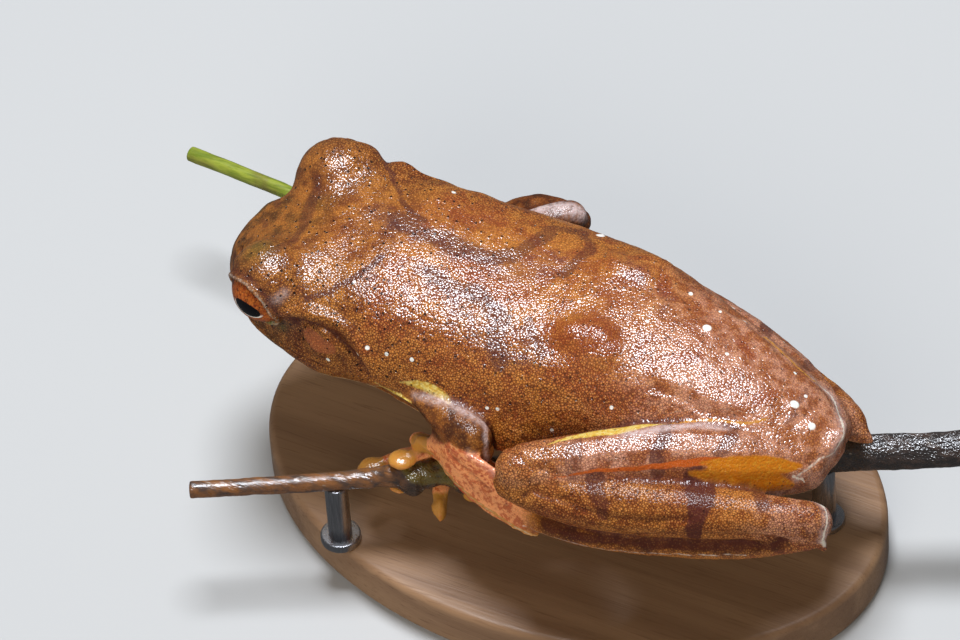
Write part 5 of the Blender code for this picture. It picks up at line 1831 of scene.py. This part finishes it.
@dataclass
class Perch:
    """The woody shoot with its knots, and the green shoot that branches off it."""

    voxel: float = 0.20
    green_voxel: float = 0.14
    wood_end: Corner = (-8.5, -9.6, -6.9)
    wood_out: Corner = (-0.89, -0.44, 0.06)
    twig_end: Corner = (46.0, 17.2, -8.6)
    twig_out: Corner = (0.89, 0.46, 0.0)
    green_end: Corner = (61.5, -12.9, -7.7)
    green_out: Corner = (0.99, -0.12, -0.06)
    grain_axis: Corner = (0.90, 0.435, -0.03)
    grain_stretch: float = 0.78
    knots: Path = ((27.2, 8.2, -7.6), (31.0, 9.9, -8.1))
    knot_reach: float = 2.4
    twig_start_f: float = 31.0
    moss_at: Path = ((26.0, 8.2, -6.6), (30.4, 9.2, -6.6))

    def blunt(self, surface: Surface, end: Corner, outward: Corner) -> np.ndarray:
        """Flatten a rounded end into a clean cut, and return the mask of its face.

        Args:
            surface: The shoot's points.
            end: A point on the cut face.
            outward: The direction that the cut faces.

        Returns:
            1 on the cut face, falling to 0.
        """
        direction = np.array(outward, float)
        direction /= np.linalg.norm(direction)
        past = (surface.points - np.array(end)) @ direction
        near = np.linalg.norm(surface.points - np.array(end), axis=1) < 4.0
        cut = near & (past > 0)
        surface.points[cut] -= np.outer(past[cut] * 0.82, direction)
        return np.where(near, smoothstep(past, 0.25, 0.6), 0.0)

    def remeshed(self, node: str, name: str, voxel: float) -> Surface:
        """A fine, even copy of a CAD node.

        Args:
            node: The node's name.
            name: The new piece's name.
            voxel: The size of its faces in millimetres.

        Returns:
            The copy's points.
        """
        item = copy_of_node(node)
        item.name = name
        item.data.name = name
        apply_modifier(item, "REMESH", mode="VOXEL", voxel_size=voxel * MM)
        surface = Surface(item)
        surface.smooth(8)
        return surface

    def finish_piece(self, surface: Surface, material: bpy.types.Material, node: str) -> bpy.types.Object:
        """Write, dress and place one shoot.

        Args:
            surface: The shoot's points.
            material: Its material.
            node: The node that it stands for.

        Returns:
            The finished piece.
        """
        surface.write()
        item = surface.item
        item.data.materials.clear()
        item.data.materials.append(material)
        item.data.shade_smooth()
        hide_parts(node)
        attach(item, "root")
        return item

    def build_wood(self, finish: BarkFinish) -> bpy.types.Object:
        """The dark shoot, its knots and the brown twig.

        Args:
            finish: What it is finished in.

        Returns:
            The finished piece.
        """
        surface = self.remeshed("perch_branch", "perch_wood", self.voxel)
        cut = self.blunt(surface, self.wood_end, self.wood_out)
        cut = most(cut, self.blunt(surface, self.twig_end, self.twig_out))
        f = surface.points[:, 0]
        stretch = np.eye(3) - self.grain_stretch * np.outer(self.grain_axis, self.grain_axis)
        knotty = hump(distance_to(surface.points, self.knots), self.knot_reach)
        ridged = surface.rough(0.75, 4.0, stretch) * (0.10 * (1 - smoothstep(f, 30, 34)) + 0.02)
        lumps = surface.rough(1.0, 9.0) * (0.05 + 0.22 * knotty)
        lumps = lumps + surface.rough(0.45, 2.0) * (0.03 + 0.09 * knotty)
        heights = (ridged + lumps) * (1 - cut)
        surface.lift(heights)
        surface.store("twig", smoothstep(f, self.twig_start_f - 1.0, self.twig_start_f + 1.5))
        surface.store("moss", 1 - smoothstep(distance_to(surface.points, self.moss_at), 0.9, 2.4))
        # Painted shade: the mask of where the bark is sunk, which its colour darkens
        surface.store("painted_hollow_shade", smoothstep(-heights, 0.02, 0.12))
        surface.store("cut", cut)
        return self.finish_piece(surface, finish.build(), "perch_branch")

    def build_green(self, finish: GreenBarkFinish) -> bpy.types.Object:
        """The green shoot.

        Args:
            finish: What it is finished in.

        Returns:
            The finished piece.
        """
        surface = self.remeshed("perch_shoot", "perch_green_shoot", self.green_voxel)
        cut = self.blunt(surface, self.green_end, self.green_out)
        surface.lift(surface.rough(1.6, 5.0) * 0.035 * (1 - cut))
        surface.store("cut", cut)
        return self.finish_piece(surface, finish.build(), "perch_shoot")


@dataclass
class Stand:
    """The flat oval base and the two short rods that hold the perch."""

    half_length: float = 25.0
    half_width: float = 17.0
    thickness: float = 4.0
    edge: float = 0.6
    rod_radius: float = 0.9
    ferrule_radius: float = 1.55
    ferrule_height: float = 0.7
    rod_edge: float = 0.16
    sharp_from: float = math.radians(40)

    def build_base(self, finish: WoodFinish) -> bpy.types.Object:
        """The oval wooden base with a rounded rim.

        Args:
            finish: What it is finished in.

        Returns:
            The finished piece.
        """
        deselect_all()
        bpy.ops.mesh.primitive_cylinder_add(vertices=144, radius=1.0, depth=self.thickness * MM,
                                            location=(0, 0, self.thickness * MM / 2))
        item = bpy.context.object
        item.name = "stand_oval_base"
        item.data.name = item.name
        item.scale = (self.half_length * MM, self.half_width * MM, 1.0)
        bpy.ops.object.transform_apply(location=True, rotation=True, scale=True)
        apply_modifier(item, "BEVEL", width=self.edge * MM, segments=4, limit_method="ANGLE")
        item.data.shade_smooth()
        item.data.set_sharp_from_angle(angle=self.sharp_from)
        item.data.materials.append(finish.build())
        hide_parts("stand_base")
        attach(item, "root")
        return item

    def build_rod(self, node: str, material: bpy.types.Material) -> bpy.types.Object:
        """One rod with the ferrule that holds it in the base.

        Args:
            node: The rod's node.
            material: Its material.

        Returns:
            The finished piece.
        """
        low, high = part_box(node)
        middle = (low + high) / 2
        foot = self.thickness * MM
        deselect_all()
        bpy.ops.mesh.primitive_cylinder_add(vertices=48, radius=self.rod_radius * MM, depth=high.z - foot,
                                            location=(middle.x, middle.y, (high.z + foot) / 2))
        rod = bpy.context.object
        bpy.ops.mesh.primitive_cylinder_add(
            vertices=48, radius=self.ferrule_radius * MM, depth=self.ferrule_height * MM,
            location=(middle.x, middle.y, foot + self.ferrule_height * MM / 2))
        ferrule = bpy.context.object
        for piece in (rod, ferrule):
            make_active(piece)
            bpy.ops.object.transform_apply(location=True, rotation=True, scale=True)
            apply_modifier(piece, "BEVEL", width=self.rod_edge * MM, segments=3, limit_method="ANGLE")
        item = joined([rod, ferrule], node.replace("rod", "steel_rod"))
        item.data.shade_smooth()
        item.data.set_sharp_from_angle(angle=self.sharp_from)
        item.data.materials.append(material)
        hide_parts(node)
        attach(item, "root")
        return item


@dataclass
class Studio:
    """Pale floor, soft lights and the camera."""

    distance: float = 0.6
    frame_width: float = 71.1
    pixel: float = 1 / 13.5
    vent_pixel: tuple[float, float] = (838.0, 440.0)
    frame_size: tuple[float, float] = (960.0, 640.0)
    floor_size: float = 4.0
    floor_colour: Colour = (0.50, 0.495, 0.48)
    surround_colour: Colour = (0.90, 0.92, 0.95)
    surround_strength: float = 0.11
    lit_point: Corner = (25.0, 0.0, 0.0)
    outward: Corner = (0.328, -0.581, 0.744)
    rightward: Corner = (0.897, 0.438, -0.053)

    def view_axes(self) -> tuple[Vector, Vector, Vector]:
        """The camera's right, up and backward directions.

        Returns:
            The three unit directions.
        """
        back = Vector(self.outward).normalized()
        right = Vector(self.rightward)
        right = (right - back * right.dot(back)).normalized()
        return right, back.cross(right), back

    def focus(self) -> Vector:
        """The point at the middle of the frame.

        Returns:
            The point, in metres.
        """
        right, up, _ = self.view_axes()
        across = (self.frame_size[0] / 2 - self.vent_pixel[0]) * self.pixel * MM
        rise = (self.vent_pixel[1] - self.frame_size[1] / 2) * self.pixel * MM
        return place(0, 0, 0) + right * across + up * rise

    def build_camera(self) -> None:
        """A camera at the photograph's viewing angle."""
        right, up, back = self.view_axes()
        data = bpy.data.cameras.new("camera")
        data.sensor_width = 36.0
        data.lens = data.sensor_width * self.distance / (self.frame_width * MM)
        data.clip_start = 0.01
        data.clip_end = 20.0
        camera = bpy.data.objects.new("camera", data)
        bpy.context.scene.collection.objects.link(camera)
        turn = Matrix((right, up, back)).transposed().to_4x4()
        camera.matrix_world = Matrix.Translation(self.focus() + back * self.distance) @ turn
        bpy.context.scene.camera = camera

    def build_floor(self) -> None:
        """A plain pale floor."""
        deselect_all()
        bpy.ops.mesh.primitive_plane_add(size=self.floor_size, location=(0, 0, 0))
        floor = bpy.context.object
        floor.name = "studio_floor"
        g = Graph("pale_floor")
        g.set(Base_Color=self.floor_colour, Roughness=0.80)
        floor.data.materials.append(g.material)
        floor.visible_glossy = False

    def add_light(self, name: str, direction: Vector, distance: float, size: float, power: float, colour: Colour,
                  glints: bool = True) -> None:
        """One round area light that faces the frog.

        Args:
            name: The light's name.
            direction: From the frog to the light.
            distance: How far off it is, in metres.
            size: Its width in metres.
            power: Its power in watts.
            colour: Its colour.
            glints: Whether it shows in reflections.
        """
        data = bpy.data.lights.new(name, "AREA")
        data.shape = "DISK"
        data.size = size
        data.energy = power
        data.color = colour
        light = bpy.data.objects.new(name, data)
        target = place(*self.lit_point)
        light.location = target + direction.normalized() * distance
        light.visible_glossy = glints
        light.rotation_euler = direction.to_track_quat("Z", "Y").to_euler()
        bpy.context.scene.collection.objects.link(light)

    def build_lights(self) -> None:
        """Soft studio lights and a pale surround."""
        right, up, back = self.view_axes()
        self.add_light("key", back * 0.60 + up * 0.75 - right * 0.05, 0.50, 0.20, 3.5, (0.87, 0.92, 1.0))
        self.add_light("front", back - up * 0.25 - right * 0.25, 0.70, 0.40, 1.9, (1.0, 0.97, 0.92), False)
        self.add_light("left", Vector((-1.0, -0.7, 0.5)), 0.80, 0.50, 0.45, (0.97, 0.985, 1.0), False)
        world = bpy.data.worlds.new("surround")
        world.use_nodes = True
        shade = world.node_tree.nodes["Background"]
        shade.inputs["Color"].default_value = (*self.surround_colour, 1.0)
        shade.inputs["Strength"].default_value = self.surround_strength
        bpy.context.scene.world = world
        bpy.context.scene.view_settings.view_transform = "Standard"


def main() -> None:
    """Build every piece in order."""
    logging.basicConfig(level=logging.INFO, format="%(name)s: %(message)s")
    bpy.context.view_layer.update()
    studio = Studio()
    studio.build_camera()
    skin = Skin().build(SkinFinish())
    log.info("skin: %d faces", len(skin.data.polygons))
    for side in Side:
        Eye(side).build(EyeFinish())
        log.info("eye: %s", side.word)
    perch = Perch()
    wood = perch.build_wood(BarkFinish())
    green = perch.build_green(GreenBarkFinish())
    log.info("perch: %d and %d faces", len(wood.data.polygons), len(green.data.polygons))
    stand = Stand()
    stand.build_base(WoodFinish())
    steel = SteelFinish().build()
    for node in ("stand_rod_1", "stand_rod_2"):
        stand.build_rod(node, steel)
    log.info("stand: base and two rods")
    studio.build_floor()
    studio.build_lights()


if __name__ == "__main__":
    main()
